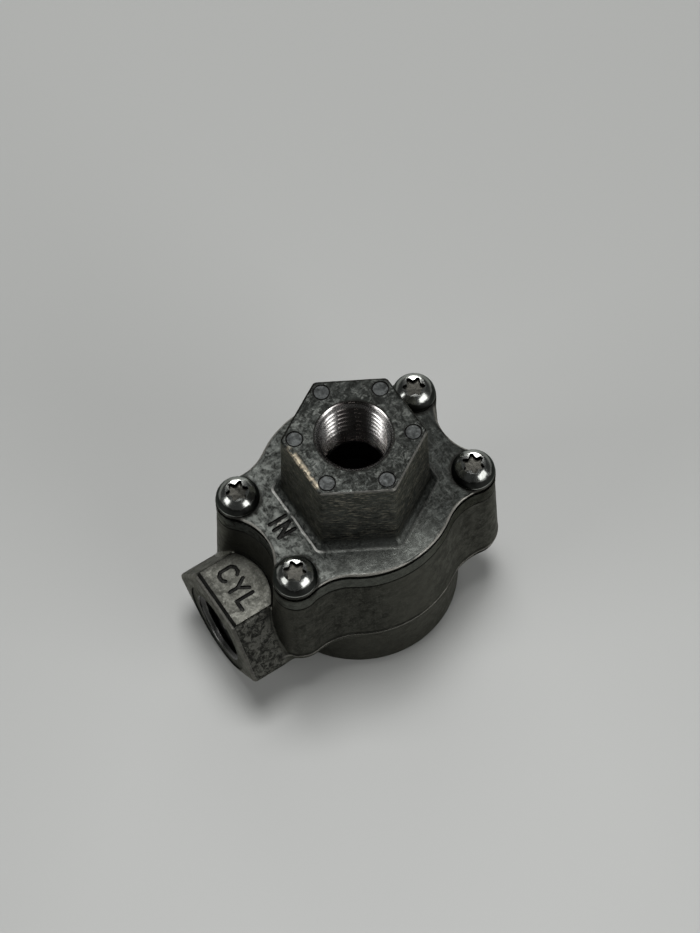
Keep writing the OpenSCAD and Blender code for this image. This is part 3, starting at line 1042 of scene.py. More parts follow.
@dataclass(frozen=True)
class BodyFinish(CastFinish):
    """The body's finish, rougher on the cylinder port's hexagon and in the hollows beside the ears."""

    tones: Tones = Tones(
        dark=(0.009, 0.0092, 0.0078, 1.0),
        middle=(0.042, 0.042, 0.036, 1.0),
        light=(0.13, 0.13, 0.115, 1.0),
        smooth=(0.08, 0.08, 0.07, 1.0),
    )
    joint_z: float = JOINT_Z
    parting_z: float = PARTING_Z
    pad_z: float = 22.75
    boss_x: float = -25.0
    rim: Pair = (-30.8, -30.35)
    pad_end: Pair = (-19.4, -19.9)
    hollow: Pair = (15.9, 23.8)
    hollow_r: float = 11.4
    patch_scale: float = 520.0
    speck_share: float = 0.35
    bump: float = 0.38
    olive: Colour = (0.056, 0.0557, 0.0475, 1.0)
    slant: Colour = (0.74, 0.74, 0.68, 1.0)

    def zones(self, wire: Wiring, effects: Effects, mottle: Outputs, colour: Socket) -> Socket:
        """Return the colour with the body's own marks.

        Args:
            wire: Wiring of the material.
            effects: The shared effects, which are not used here.
            mottle: Outputs of the mottle group.
            colour: Colour so far.

        Returns:
            The new colour.
        """
        x, _, z = wire.axes
        light = self.tones.light
        calm = wire.between(x, self.boss_x * MM, (self.boss_x + 2.5) * MM)
        smooth = wire.times(calm, wire.rest(self._hollows(wire)), 0.7)
        colour = wire.mix(smooth, colour, self.olive)
        streaks = wire.between(wire.stretched((900.0, 900.0, 130.0), 3.0), 0.5, 0.68)
        colour = wire.lay(colour, light, streaks, self._hollows(wire), 0.15)
        boss = wire.rest(calm)
        blotch = wire.between(wire.noise(900.0, 6.0, 0.74, 0.9), 0.4, 0.58)
        colour = wire.lay(colour, light, boss, blotch, 0.5)
        colour = wire.lay(colour, self.dirt, boss, wire.rest(blotch), 0.85)
        colour = wire.lay(colour, self.worn, wire.band(x, *self.rim, 0.1), 0.3)
        upward = wire.between(wire.facing()["Z"], 0.5, 0.8)
        above = wire.band(z, self.pad_z, self.pad_z + 0.6, 0.1)
        inner, outer = self.pad_end
        pad = wire.times(wire.between(x, inner * MM, outer * MM), above, upward)
        cloudy = wire.maths("ADD", wire.times(mottle["Patch"], 0.5), wire.times(mottle["Fleck"], 0.6))
        pale = wire.mix(cloudy, self.tones.middle, light)
        colour = wire.lay(colour, pale, pad, 0.85)
        # Along the parting line, the flash is lighter, worn metal with a painted highlight, and the broken
        # band above it is darker, grime with a painted shadow.
        flash = wire.times(wire.band(z, self.parting_z - 0.16, self.parting_z + 0.16, 0.08), calm)
        colour = wire.lay(colour, self.worn, flash, 0.5)
        broken = wire.between(wire.noise(330.0, 4.0, 0.7), 0.36, 0.5)
        groove = wire.times(wire.band(z, self.parting_z + 0.24, self.parting_z + 1.0, 0.12), calm, broken)
        joint = wire.between(z, (self.joint_z - 0.42) * MM, (self.joint_z - 0.14) * MM)
        return wire.lay(colour, self.dirt, wire.maths("MAXIMUM", groove, joint), 0.9)

    def _hollows(self, wire: Wiring) -> Socket:
        """Return where the wall is hollow between the flange and its ears."""
        flat = wire.vector("MULTIPLY", wire.vector("ABSOLUTE", wire.place), LEVEL)
        centre = (self.hollow[0] * MM, self.hollow[1] * MM, 0.0)
        near = wire.measure("DISTANCE", flat, centre)
        wave = wire.maths("SUBTRACT", wire.noise(210.0, 5.0, 0.65), 0.5)
        reach = wire.maths("ADD", near, wire.times(wave, 9 * MM))
        beside = wire.between(reach, (self.hollow_r + 3.0) * MM, (self.hollow_r - 0.6) * MM)
        above = wire.between(wire.axes["Z"], self.parting_z * MM, (self.parting_z + 2.5) * MM)
        return wire.times(beside, above)


@dataclass(frozen=True)
class PinFinish(CastFinish):
    """The smooth, bluish floor that an ejector pin leaves."""

    tones: Tones = Tones(
        dark=(0.02, 0.0215, 0.0215, 1.0),
        middle=(0.048, 0.051, 0.051, 1.0),
        light=(0.11, 0.114, 0.114, 1.0),
        smooth=(0.05, 0.052, 0.052, 1.0),
    )
    fleck_share: float = 0.25
    stain_share: float = 0.3
    bump: float = 0.2


@dataclass(frozen=True)
class MarkedFinish(CastFinish):
    """The near-black skin of the grimy lettering, the pin-mark rings, the screw recesses and the pad's
    outer slope.
    """

    tones: Tones = Tones(
        dark=(0.004, 0.004, 0.004, 1.0),
        middle=(0.01, 0.01, 0.0095, 1.0),
        light=(0.02, 0.02, 0.019, 1.0),
        smooth=(0.01, 0.01, 0.0095, 1.0),
    )
    worn_share: float = 0.0


@dataclass(frozen=True)
class MachinedFinish:
    """Bright bare metal with fine tool marks and dull patches."""

    name: str
    colour: Colour = (0.8, 0.79, 0.78, 1.0)
    dull: Colour = (0.42, 0.41, 0.41, 1.0)
    dull_share: float = 0.7
    rough: float = 0.28
    bump: float = 0.15

    def material(self, effects: Effects) -> Material:
        """Return the finish as a material."""
        material, wire, shader = new_material(self.name)
        mottle = wire.group(effects.mottle)
        colour = wire.lay(self.colour, self.dull, mottle["Stain"], self.dull_share)
        rough = wire.ramp(mottle["Grain"], (0.3, 0.7), self.rough * 0.7, self.rough * 1.4)
        wire.feed(shader, colour, wire.bump(mottle["Grain"], self.bump, 0.03), rough)
        shader.inputs["Metallic"].default_value = 1.0
        return material


@dataclass(frozen=True)
class ThreadFinish:
    """Turned metal of a port: bright crests, dark roots, a scraped mouth, a painted shade on the bore's far
    wall, and a black depth that is oil with painted shade.
    """

    name: str
    look: Look
    mouth: Triple
    black_from: float
    black_to: float
    mouth_r: float = SMALL_PORT["mouth_r"]
    colour: Colour = (0.78, 0.76, 0.74, 1.0)
    dull: Colour = (0.25, 0.24, 0.23, 1.0)
    oil_and_shade: Colour = (0.004, 0.004, 0.004, 1.0)
    run: Colour = (0.035, 0.026, 0.023, 1.0)
    far_wall_way: Triple = (0.52, 0.85, 0.0)
    rough: float = 0.24

    def material(self, effects: Effects) -> Material:
        """Return the finish as a material."""
        material, wire, shader = new_material(self.name)
        mottle = wire.group(effects.mottle)
        edges = wire.group(effects.edges, {"Dark Creases From": -0.12})
        mouth = tuple(length * MM for length in self.mouth)
        inside = wire.vector("SUBTRACT", wire.place, mouth)
        along = wire.apart(inside)
        if self.look is Look.ACROSS:
            depth = along["X"]
            level = UPRIGHT
        else:
            depth = wire.maths("MULTIPLY", along["Z"], -1.0)
            level = LEVEL
        flat = wire.vector("MULTIPLY", inside, level)
        out = wire.measure("LENGTH", flat)
        colour = wire.lay(self.colour, self.dull, mottle["Stain"], 0.5)
        colour = wire.lay(colour, self.oil_and_shade, mottle["Pits"], 0.4)
        # Painted shade in the run colour on the side of the bore that faces away from the camera.
        side = wire.measure("DOT_PRODUCT", wire.vector("NORMALIZE", flat), self.far_wall_way)
        colour = wire.lay(colour, self.run, wire.between(side, 0.76, 0.94), 0.9)
        colour = wire.lay(colour, self.oil_and_shade, edges["Dirt"], 0.9)
        cone = wire.band(out, self.mouth_r - 0.75, self.mouth_r - 0.3, 0.1)
        mouth_ring = wire.times(cone, wire.between(depth, 1.3 * MM, 1.0 * MM))
        colour = wire.lay(colour, self.dull, mouth_ring, 0.75)
        # The deep bore turns black, oil with painted shade.
        black = wire.between(depth, self.black_from * MM, self.black_to * MM)
        colour = wire.mix(black, colour, self.oil_and_shade)
        shine = wire.maths("ADD", mottle["Grain"], wire.times(black, 0.8))
        rough = wire.ramp(shine, (0.3, 1.4), self.rough * 0.7, self.rough * 2.4)
        wire.feed(shader, colour, wire.bump(mottle["Grain"], 0.15, 0.03), rough)
        shader.inputs["Metallic"].default_value = 1.0
        return material


@dataclass(frozen=True)
class ScrewFinish:
    """Bright plated steel with fine scratches, and a dark band low on the head that is oily grime with a
    painted dark reflection.
    """

    name: str
    seat_z: float = PLATE_TOP_Z
    colour: Colour = (0.38, 0.387, 0.368, 1.0)
    dull: Colour = (0.17, 0.175, 0.165, 1.0)
    grime_and_dark_reflection: Colour = (0.003, 0.0036, 0.0032, 1.0)
    slant: Colour = (0.6, 0.64, 0.61, 1.0)
    rough: float = 0.19

    def material(self, effects: Effects) -> Material:
        """Return the finish as a material."""
        material, wire, shader = new_material(self.name)
        mottle = wire.group(effects.mottle)
        colour = wire.lay(self.colour, self.dull, mottle["Stain"], 0.6)
        colour = wire.lay(colour, self.grime_and_dark_reflection, mottle["Pits"], 0.7)
        wave = wire.noise(800.0, 3.0, 0.6)
        uneven = wire.times(wire.maths("SUBTRACT", wave, 0.5), 1.1 * MM)
        above = wire.maths("SUBTRACT", wire.axes["Z"], self.seat_z * MM)
        # The dark band low on the head: oily grime with a painted dark reflection.
        flank = wire.times(
            wire.between(above, 0.36 * MM, 0.5 * MM),
            wire.between(wire.maths("ADD", above, uneven), 2.15 * MM, 1.7 * MM),
        )
        colour = wire.lay(colour, self.grime_and_dark_reflection, flank, 0.93)
        shine = wire.maths("ADD", mottle["Grain"], wire.times(flank, 0.6))
        rough = wire.ramp(shine, (0.3, 1.2), self.rough * 0.7, self.rough * 2.2)
        height = wire.maths("ADD", wire.times(mottle["Grain"], 0.15), wave)
        wire.feed(shader, colour, wire.bump(height, 0.35, 0.06), rough)
        shader.inputs["Metallic"].default_value = 1.0
        shader.inputs["Specular Tint"].default_value = self.slant
        return material


@dataclass(frozen=True)
class RubberFinish:
    """Black moulded rubber with a faint bloom."""

    name: str
    dark: Colour = (0.012, 0.012, 0.012, 1.0)
    bloom: Colour = (0.035, 0.035, 0.036, 1.0)
    rough: float = 0.62

    def material(self, effects: Effects) -> Material:
        """Return the finish as a material."""
        material, wire, shader = new_material(self.name)
        mottle = wire.group(effects.mottle)
        colour = wire.mix(mottle["Patch"], self.dark, self.bloom)
        wire.feed(shader, colour, wire.bump(mottle["Grain"], 0.2, 0.05))
        shader.inputs["Roughness"].default_value = self.rough
        return material


@dataclass
class CoverCasting:
    """The cover: a plate with ears, a drafted inlet hexagon and a spigot below. Sizes in millimetres."""

    outline: Outline
    joint_z: float = JOINT_Z
    top_z: float = PLATE_TOP_Z
    edge_r: float = 0.5
    hexagon: Hexagon = Hexagon()
    hex_af: float = 22.2
    hex_top_z: float = INLET_TOP_Z
    hex_draft: float = math.radians(1.6)
    root_r: float = 1.8
    end_r: float = 0.45
    spigot_r: float = 13.9
    spigot_z: float = 28.5
    seat_r: float = 6.5
    seat_z: float = 26.5
    hole_r: float = 2.25
    pin_mark_r: float = 1.55
    pin_mark_reach: float = 10.22
    rim_groove_high: float = 0.38
    rim_groove_low: float = 1.45
    rim_groove_depth: float = 0.24
    pin_floor_depth: float = 0.1
    pin_ring_depth: float = 0.22
    label: Marking = Marking(corner=(-17.0, 1.75), height=3.3, gap=1.35, width=0.8)
    label_depth: float = 0.34

    def build(self) -> Piece:
        """Return the cover as one casting, with its port, holes and marks cut in."""
        piece = join([self._plate(), self._inlet_boss(), self._spigot()])
        fuse(piece, grain_mm=0.17, soften=2)
        ripple(piece, wave_mm=3.0, height_mm=0.06)
        thin_out(piece, faces=130000)
        mark(piece, Surface.CAST)
        cut(piece, [self._port().cutter(), *self._holes()])
        cut(piece, [self._rim_groove()])
        cut(piece, self._pin_marks())
        cut(piece, self.label.cutters("IN", self.top_z, self.label_depth))
        piece.name = "cover_casting"
        return piece

    def _rim_groove(self) -> Piece:
        """Return the cutter of the uneven groove that the die leaves under the plate's upper edge."""
        low = self.top_z - self.rim_groove_low
        high = self.top_z - self.rim_groove_high
        deep = -self.rim_groove_depth
        rows = [(deep, high), (deep - 0.02, low + 0.1), (2.0, low - 0.25), (2.0, high + 0.08)]
        return mark(self.outline.band("rim_groove", rows, rough=0.03, seed=11), Surface.CAST)

    def _plate(self) -> Piece:
        """Return the plate with its ears and rounded upper edge."""
        rings = [self.outline.ring(self.joint_z)]
        for turn in quarter(4):
            z = self.top_z - self.edge_r * (1 - math.sin(turn))
            rings.append(self.outline.ring(z, -self.edge_r * (1 - math.cos(turn))))
        return skin("plate", np.stack(rings))

    def _inlet_boss(self) -> Piece:
        """Return the inlet hexagon with a fillet at its root and rounded upper edges."""
        rings = [self.hexagon.ring(self._root_width(0.0), self.top_z - 1.0, turned=True)]
        for turn in quarter(8)[1:]:
            z = self.top_z + self._root_height(turn)
            rings.append(self.hexagon.ring(self._root_width(turn), z, turned=True))
        for turn in quarter(4):
            width = self.hex_af - 2 * self.end_r * (1 - math.cos(turn))
            z = self.hex_top_z - self.end_r * (1 - math.sin(turn))
            rings.append(self.hexagon.ring(width, z, turned=True))
        return skin("inlet_boss", np.stack(rings))

    def _root_height(self, turn: float) -> float:
        """Return the height of a point on the root fillet above the plate."""
        return self.root_r * (1 - math.cos(turn))

    def _root_width(self, turn: float) -> float:
        """Return the hexagon's width at a point on the root fillet."""
        rise = self.hex_top_z - self.top_z - self._root_height(turn)
        return self.hex_af + 2 * rise * math.tan(self.hex_draft) + 2 * self.root_r * (1 - math.sin(turn))

    def _spigot(self) -> Piece:
        """Return the spigot under the plate with the inlet seat on it."""
        top = self.joint_z + 1
        profile = [(0.0, self.seat_z), (self.seat_r, self.seat_z), (self.seat_r, self.spigot_z)]
        profile += [(self.spigot_r, self.spigot_z), (self.spigot_r, top), (0.0, top)]
        return revolve("spigot", profile)

    def _port(self) -> PipePort:
        """Return the inlet port."""
        return PipePort(
            name="inlet_port",
            look=Look.UP,
            mouth=(0.0, 0.0, self.hex_top_z),
            thread_depth=13.0,
            passage_depth=self.hex_top_z - self.seat_z + 1,
            **SMALL_PORT,
        )

    def _holes(self) -> list[Piece]:
        """Return the cutters of the screw holes."""
        profile = [(0.0, self.joint_z - 1), (self.hole_r, self.joint_z - 1)]
        profile += [(self.hole_r, self.top_z + 1), (0.0, self.top_z + 1)]
        holes = [revolve("screw_hole", profile, 32, ear) for ear in self.outline.ears]
        return [mark(hole, Surface.MACHINED) for hole in holes]

    def _pin_marks(self) -> list[Piece]:
        """Return the shallow discs that the ejector pins leave on the hexagon's top."""
        cutters = []
        top = self.hex_top_z
        r = self.pin_mark_r
        floor = top - self.pin_floor_depth
        ring = top - self.pin_ring_depth
        profile = [(0.0, floor), (r - 0.26, floor), (r - 0.18, ring), (r - 0.05, ring)]
        profile += [(r + 0.02, top - 0.03), (r + 0.08, top + 0.4), (0.0, top + 0.4)]
        for corner in range(6):
            turn = math.pi / 6 + corner * math.pi / 3
            centre = (self.pin_mark_reach * math.cos(turn), self.pin_mark_reach * math.sin(turn))
            disc = mark(revolve("pin_mark", profile, 48, centre), Surface.MARKED)
            cutters.append(mark_floor(disc, Surface.PIN, Vector((*centre, 0.0)) * MM, (r - 0.27) * MM))
        return cutters

    def dress(self, piece: Piece, skins: list[Material]) -> None:
        """Give the cover its finishes and put it on the housing."""
        finish_casting(piece, skins, "cover")


def finish_casting(piece: Piece, skins: list[Material], node: str) -> None:
    """Shade a casting, store its edges, and let it stand for its CAD node.

    Args:
        piece: The casting.
        skins: Materials in the order of Surface.
        node: The CAD node that it stands for.
    """
    activate(piece)
    for number, material in enumerate(skins):
        piece.data.materials[number] = material
    bpy.ops.object.shade_smooth_by_angle(angle=math.radians(38))
    write_edges(piece)
    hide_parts(node)
    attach(piece, "housing")


@dataclass
class BodyCasting:
    """The body: flange block, round foot, cylinder hexagon and valve chamber. Sizes in millimetres."""

    outline: Outline
    joint_z: float = JOINT_Z
    parting_z: float = PARTING_Z
    ear_drop: float = 2.4
    ear_edge_r: float = 1.3
    parting_grow: float = 1.03
    flash_grow: float = 1.06
    foot_step: float = 0.18
    foot_base_r: float = 18.76
    parting_blend_r: float = 12.0
    hexagon: Hexagon = Hexagon()
    hex_af: float = 22.6
    hex_reach: float = 30.9
    end_r: float = 0.7
    under_r: float = 9.6
    spot_face_r: float = 8.7
    spot_face_depth: float = 0.25
    pad_h: float = 0.4
    pad_margin: float = 1.1
    pad_gap: float = 0.3
    fillet_reach: float = 1.7
    chamber_r: float = 14.0
    chamber_floor_z: float = 5.4
    groove_r: float = 15.7
    groove_depth: float = 1.3
    nozzle_r: float = 9.05
    seat_r: float = 8.0
    seat_z: float = 20.45
    hole_r: float = 2.05
    hole_depth: float = 10.7
    label: Marking = Marking(corner=(-27.3, 4.15), height=3.4, gap=1.1, width=0.78)
    label_depth: float = 0.3

    @property
    def cylinder_mouth(self) -> Triple:
        """Centre of the cylinder port's mouth."""
        return self.spot_face_depth - self.hex_reach, 0.0, self.hex_af / 2

    def build(self) -> Piece:
        """Return the body as one casting, with its ports, chamber and holes cut in."""
        block = self._block()
        boss = self._boss()
        graph = bpy.context.evaluated_depsgraph_get()
        trees = [BVHTree.FromObject(solid, graph) for solid in (block, boss)]
        piece = join([block, self._foot(), boss])
        fuse(piece, grain_mm=0.19, soften=2)
        self._fillet(piece, trees)
        ripple(piece, wave_mm=3.5, height_mm=0.06)
        thin_out(piece, faces=130000)
        mark(piece, Surface.CAST)
        cut(piece, [self._chamber()])
        cut(piece, [self._spot_face()])
        cut(piece, [self._cylinder_port().cutter()])
        cut(piece, [self._exhaust_port().cutter(), *self._holes()])
        add(piece, [self._flash(), self._pad()])
        cut(piece, [self._parting_groove()])
        top = self.hex_af + self.pad_h
        cut(piece, self.label.cutters("CYL", top, self.label_depth))
        piece.name = "body_casting"
        return piece

    def _fillet(self, piece: Piece, trees: list[BVHTree]) -> None:
        """Round the hollow where the hexagon runs out of the block.

        Args:
            piece: The fused casting.
            trees: Search trees of the block and of the hexagon.
        """
        group = piece.vertex_groups.new(name="hollow")
        for point in piece.data.vertices:
            if point.co.x > -self.outline.ear_x * 0.75 * MM:
                continue
            far = max(tree.find_nearest(point.co)[3] for tree in trees) / MM
            if far < self.fillet_reach:
                group.add([point.index], 1 - far / self.fillet_reach, "REPLACE")
        apply_modifier(piece, "SMOOTH", factor=0.5, iterations=60, vertex_group=group.name)
        piece.vertex_groups.clear()

    def _flash(self) -> Piece:
        """Return the thin ridge of trimmed flash on the parting line, which ends beside the hexagon."""
        z = self.parting_z
        rows = [(0.3, z), (self.flash_grow - 0.01, z), (self.flash_grow, z + 0.14), (0.3, z + 0.6)]
        band = self.outline.band("flash", rows, self.parting_blend_r, rough=0.012, seed=23)
        cut(band, [self._guard()])
        return mark(band, Surface.CAST)

    def _parting_groove(self) -> Piece:
        """Return the cutter of the uneven groove under the parting line, ending beside the hexagon."""
        z = self.parting_z
        deep = self.parting_grow - self.foot_step - 0.1
        edge = self.parting_grow - self.foot_step + 0.02
        rows = [(deep, z), (deep, z - 1.3), (edge, z - 1.48), (2.5, z - 1.6), (2.5, z)]
        band = self.outline.band("parting_groove", rows, self.parting_blend_r, rough=0.05, seed=31)
        cut(band, [self._guard()])
        return mark(band, Surface.CAST)

    def _guard(self) -> Piece:
        """Return a prism round the hexagon, which keeps the parting line's marks off it."""
        outline = self.hexagon.ring(self.hex_af + 1.2, 0.0)
        rings = [outline[:, [2, 0, 1]] + [x, 0.0, self.hex_af / 2] for x in (-self.hex_reach - 4, -14.0)]
        return skin("guard", np.stack(rings))

    def _spot_face(self) -> Piece:
        """Return the cutter of the shallow round face that the cylinder port opens on."""
        rings = []
        for x in (-self.hex_reach - 1, -self.hex_reach + self.spot_face_depth):
            ring = circle(self.spot_face_r, 0.0)
            rings.append(ring[:, [2, 0, 1]] + [x, 0.0, self.hex_af / 2])
        return mark(skin("spot_face", np.stack(rings)), Surface.PIN)

    def _block(self) -> Piece:
        """Return the drafted block with its four ears, rounded below the parting line."""
        foot_grow = self.parting_grow - self.foot_step
        rings = []
        for turn in quarter(5):
            grow = foot_grow - self.ear_edge_r * (1 - math.sin(turn))
            z = self.parting_z - self.ear_drop + self.ear_edge_r * (1 - math.cos(turn))
            rings.append(self.outline.ring(z, grow, self.parting_blend_r))
        rings.append(self.outline.ring(self.parting_z - 0.05, foot_grow, self.parting_blend_r))
        rings.append(self.outline.ring(self.parting_z, self.parting_grow, self.parting_blend_r))
        for step in range(1, 9):
            share = step / 8
            z = self.parting_z + (self.joint_z - self.parting_z) * share
            blend = self.parting_blend_r + (self.outline.blend_r - self.parting_blend_r) * share
            rings.append(self.outline.ring(z, self.parting_grow * (1 - share), blend))
        return skin("block", np.stack(rings))

    def _foot(self) -> Piece:
        """Return the round foot."""
        top_r = self.outline.flange_r + self.parting_grow - self.foot_step
        edge = 0.4
        profile = [(0.0, 0.0), (self.foot_base_r - edge, 0.0), (self.foot_base_r, edge)]
        profile += [(top_r, self.parting_z + 0.5), (0.0, self.parting_z + 0.5)]
        return revolve("foot", profile, 192)

    def _boss(self) -> Piece:
        """Return the cylinder port's boss, running out along -X."""
        rings = [self._boss_ring(12.0, 0.0)]
        for turn in quarter(4):
            inset = self.end_r * (1 - math.cos(turn))
            rings.append(self._boss_ring(self.hex_reach - self.end_r * (1 - math.sin(turn)), inset))
        return skin("boss", np.stack(rings))

    def _boss_ring(self, reach: float, inset: float) -> np.ndarray:
        """Return the boss's outline, hexagonal above and round below.

        Args:
            reach: Distance of the ring from the valve's axis.
            inset: How far the outline is drawn in all round.

        Returns:
            The ring's points.
        """
        corner_r = self.hexagon.corner_r
        under_r = self.under_r - inset
        out = (self.hex_af / 2 - inset - corner_r) / math.cos(math.pi / 6)
        turn = math.acos((under_r - corner_r) / out)
        step = math.pi / 6
        arcs = [(out, 0.0, corner_r, -turn, step)]
        for corner in (2, 4):
            centre = (out * math.cos(corner * step), out * math.sin(corner * step))
            arcs.append((*centre, corner_r, (corner - 1) * step, (corner + 1) * step))
        arcs.append((-out, 0.0, corner_r, 5 * step, math.pi + turn))
        arcs.append((0.0, 0.0, under_r, math.pi + turn, 2 * math.pi - turn))
        points = []
        for y, z, radius, start, end in arcs:
            for angle in np.linspace(start, end, 9):
                height = self.hex_af / 2 + z + radius * math.sin(angle)
                points.append((-reach, y + radius * math.cos(angle), height))
        return np.array(points)

    def _pad(self) -> Piece:
        """Return the raised pad on the hexagon's upper flat, rounded towards the block's neck."""
        half = self.hex_af / math.sqrt(3) / 2 - 0.3
        outer = self.pad_margin - self.hex_reach
        share = (self.hex_af - self.parting_z) / (self.joint_z - self.parting_z)
        blend = self.parting_blend_r + (self.outline.blend_r - self.parting_blend_r) * share
        neck = -self.outline.ear_x - math.sqrt((blend + self.outline.ear_r) ** 2 - self.outline.ear_y**2)
        arc_r = blend - self.parting_grow * (1 - share) - self.pad_gap
        rings = []
        top = self.hex_af + self.pad_h
        base = self.hex_af
        levels = [(base - 1.0, 0.0, 0.55), (base, 0.0, 0.55)]
        levels += [(top - 0.1, 0.0, 0.0), (top - 0.03, 0.05, 0.0), (top, 0.16, 0.0)]
        for z, inset, slope in levels:
            side = half - inset
            reach = arc_r - inset
            span = math.asin(side / reach)
            ring = [(outer + inset - slope, side, z), (outer + inset - slope, -side, z)]
            for step in range(25):
                turn = span * (step / 12 - 1)
                ring.append((neck + reach * math.cos(turn), reach * math.sin(turn), z))
            rings.append(ring)
        roof = np.array(rings[-1])
        for share in (0.85, 0.7, 0.55, 0.4, 0.25, 0.12, 0.0):
            rings.append(roof.mean(axis=0) + (roof - roof.mean(axis=0)) * share)
        pad = mark(skin("pad", np.array(rings)), Surface.CAST)
        for face in pad.data.polygons:
            if face.normal.x < -0.4:
                face.material_index = Surface.MARKED.value
        return pad

    def _chamber(self) -> Piece:
        """Return the cutter of the ring-shaped chamber and of the O-ring groove above it."""
        top = self.joint_z + 1
        taper = self.nozzle_r - self.seat_r
        profile = [(0.0, self.seat_z), (self.seat_r, self.seat_z), (self.nozzle_r, self.seat_z - taper)]
        profile += [(self.nozzle_r, self.chamber_floor_z), (self.chamber_r, self.chamber_floor_z)]
        profile += [(self.chamber_r, self.joint_z - self.groove_depth)]
        profile += [(self.groove_r, self.joint_z - self.groove_depth), (self.groove_r, top), (0.0, top)]
        return mark(revolve("chamber", profile), Surface.MACHINED)

    def _cylinder_port(self) -> PipePort:
        """Return the port that leads to the air cylinder."""
        return PipePort(
            name="cylinder_port",
            look=Look.ACROSS,
            mouth=self.cylinder_mouth,
            thread_depth=13.5,
            passage_depth=self.hex_reach - self.nozzle_r - 1,
            relief_r=5.2,
            relief_depth=1.0,
            **SMALL_PORT,
        )

    def _exhaust_port(self) -> PipePort:
        """Return the port under the foot."""
        return PipePort(
            name="exhaust_port",
            look=Look.DOWN,
            mouth=(0.0, 0.0, 0.0),
            mouth_r=8.4,
            minor_r=7.4,
            major_r=8.35,
            thread_depth=12.0,
            passage_r=6.5,
            passage_depth=self.seat_z + 1,
            surface=Surface.MACHINED,
            relief_r=6.6,
            relief_depth=1.0,
        )

    def _holes(self) -> list[Piece]:
        """Return the cutters of the tapped holes."""
        low = self.joint_z - self.hole_depth
        top = self.joint_z + 1
        profile = [(0.0, low), (self.hole_r, low), (self.hole_r, top), (0.0, top)]
        holes = [revolve("tapped_hole", profile, 32, ear) for ear in self.outline.ears]
        return [mark(hole, Surface.MACHINED) for hole in holes]

    def dress(self, piece: Piece, skins: list[Material]) -> None:
        """Give the body its finishes and put it on the housing."""
        finish_casting(piece, skins, "body")


@dataclass
class CoverScrews:
    """Four button-head screws with six-lobe recesses. Sizes in millimetres."""

    outline: Outline
    seat_z: float = PLATE_TOP_Z
    shank_r: float = 2.0
    length: float = 14.0
    head_r: float = 3.9
    head_h: float = 3.5
    rim_h: float = 0.6
    mouth_r: float = 2.16
    mouth_z: float = 2.82
    mouth_slope: float = 0.24
    recess_r: float = 1.74
    recess_depth: float = 1.9
    lobe: float = 0.19
    turns: tuple[float, float, float, float] = (0.3, 0.75, 0.1, 0.55)

    def build(self) -> list[Piece]:
        """Return one screw for each ear, each turned its own way."""
        pattern = self._screw()
        screws = []
        for number, (ear, turn) in enumerate(zip(self.outline.ears, self.turns), start=1):
            activate(pattern)
            bpy.ops.object.duplicate()
            screw = bpy.context.object
            screw.name = f"cover_screw_{number}"
            seat = Vector((*ear, self.seat_z)) * MM
            screw.data.transform(Matrix.Translation(seat) @ Matrix.Rotation(turn, 4, "Z"))
            screws.append(screw)
        bpy.data.objects.remove(pattern)
        return screws

    def _screw(self) -> Piece:
        """Return a screw that stands on the origin with its shank below."""
        crown = self.head_h - self.rim_h
        dome_r = (self.head_r**2 + crown**2) / (2 * crown)
        span = math.asin(self.head_r / dome_r)
        end = -self.length
        profile = [(0.0, end), (self.shank_r - 0.4, end), (self.shank_r, end + 0.4), (self.shank_r, 0.0)]
        profile += [(self.head_r - 0.12, 0.0), (self.head_r, 0.1), (self.head_r, self.rim_h - 0.14)]
        profile.append((self.head_r - 0.05, self.rim_h - 0.03))
        for step in range(17):
            turn = span * (1 - step / 16) * 0.975
            profile.append((dome_r * math.sin(turn), self.head_h - dome_r * (1 - math.cos(turn))))
        screw = mark(revolve("screw", profile, 72), Surface.CAST)
        cut(screw, [self._recess()])
        return screw

    def _recess(self) -> Piece:
        """Return the cutter of the six-lobe recess, whose walls stand in a dished round mouth."""
        turn = np.arange(96) * 2 * math.pi / 96
        floor = self.head_h - self.recess_depth
        lobed = 1 + self.lobe * np.cos(6 * turn)
        rings = [circle(0.0, floor - 0.06, 96)]
        for share, z in ((0.55, floor), (0.94, floor), (1.0, floor + 0.08), (1.0, None)):
            radius = self.recess_r * share * lobed
            dished = self.mouth_z - (self.mouth_r - radius) * self.mouth_slope
            height = dished if z is None else np.full(96, z)
            rings.append(np.stack([radius * np.cos(turn), radius * np.sin(turn), height], axis=1))
        rings.append(circle(self.mouth_r, self.mouth_z, 96))
        rings.append(circle(self.mouth_r + 0.03, self.head_h + 0.5, 96))
        tool = mark(skin("recess", np.stack(rings)), Surface.MARKED)
        for face in tool.data.polygons:
            if face.center.z < (floor + 0.04) * MM:
                face.material_index = Surface.PIN.value
            elif face.center.z > (self.mouth_z - 0.1) * MM or abs(face.normal.z) > 0.7:
                face.material_index = Surface.CAST.value
        return tool

    def dress(self, screws: list[Piece], skins: list[Material]) -> None:
        """Give the screws their finishes, in the order of Surface, and put them on the housing."""
        for screw in screws:
            activate(screw)
            for number, material in enumerate(skins):
                screw.data.materials[number] = material
            bpy.ops.object.shade_smooth_by_angle(angle=math.radians(35))
            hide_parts("cover_screws")
            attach(screw, "housing")


@dataclass(frozen=True)
class Lamp:
    """A soft rectangular light. Its size and distance are in metres, its power in watts."""

    name: str
    way: Triple
    distance: float
    size: Pair
    power: float

    def add(self, aim: Vector) -> None:
        """Add the light, which stands in its direction from a point and shines at it."""
        clear_selection()
        place = aim + Vector(self.way).normalized() * self.distance
        bpy.ops.object.light_add(type="AREA", location=place)
        lamp = bpy.context.object
        lamp.name = self.name
        lamp.data.shape = "RECTANGLE"
        lamp.data.size, lamp.data.size_y = self.size
        lamp.data.energy = self.power
        lamp.visible_camera = False
        lamp.rotation_mode = "QUATERNION"
        lamp.rotation_quaternion = (aim - place).to_track_quat("-Z", "Y")


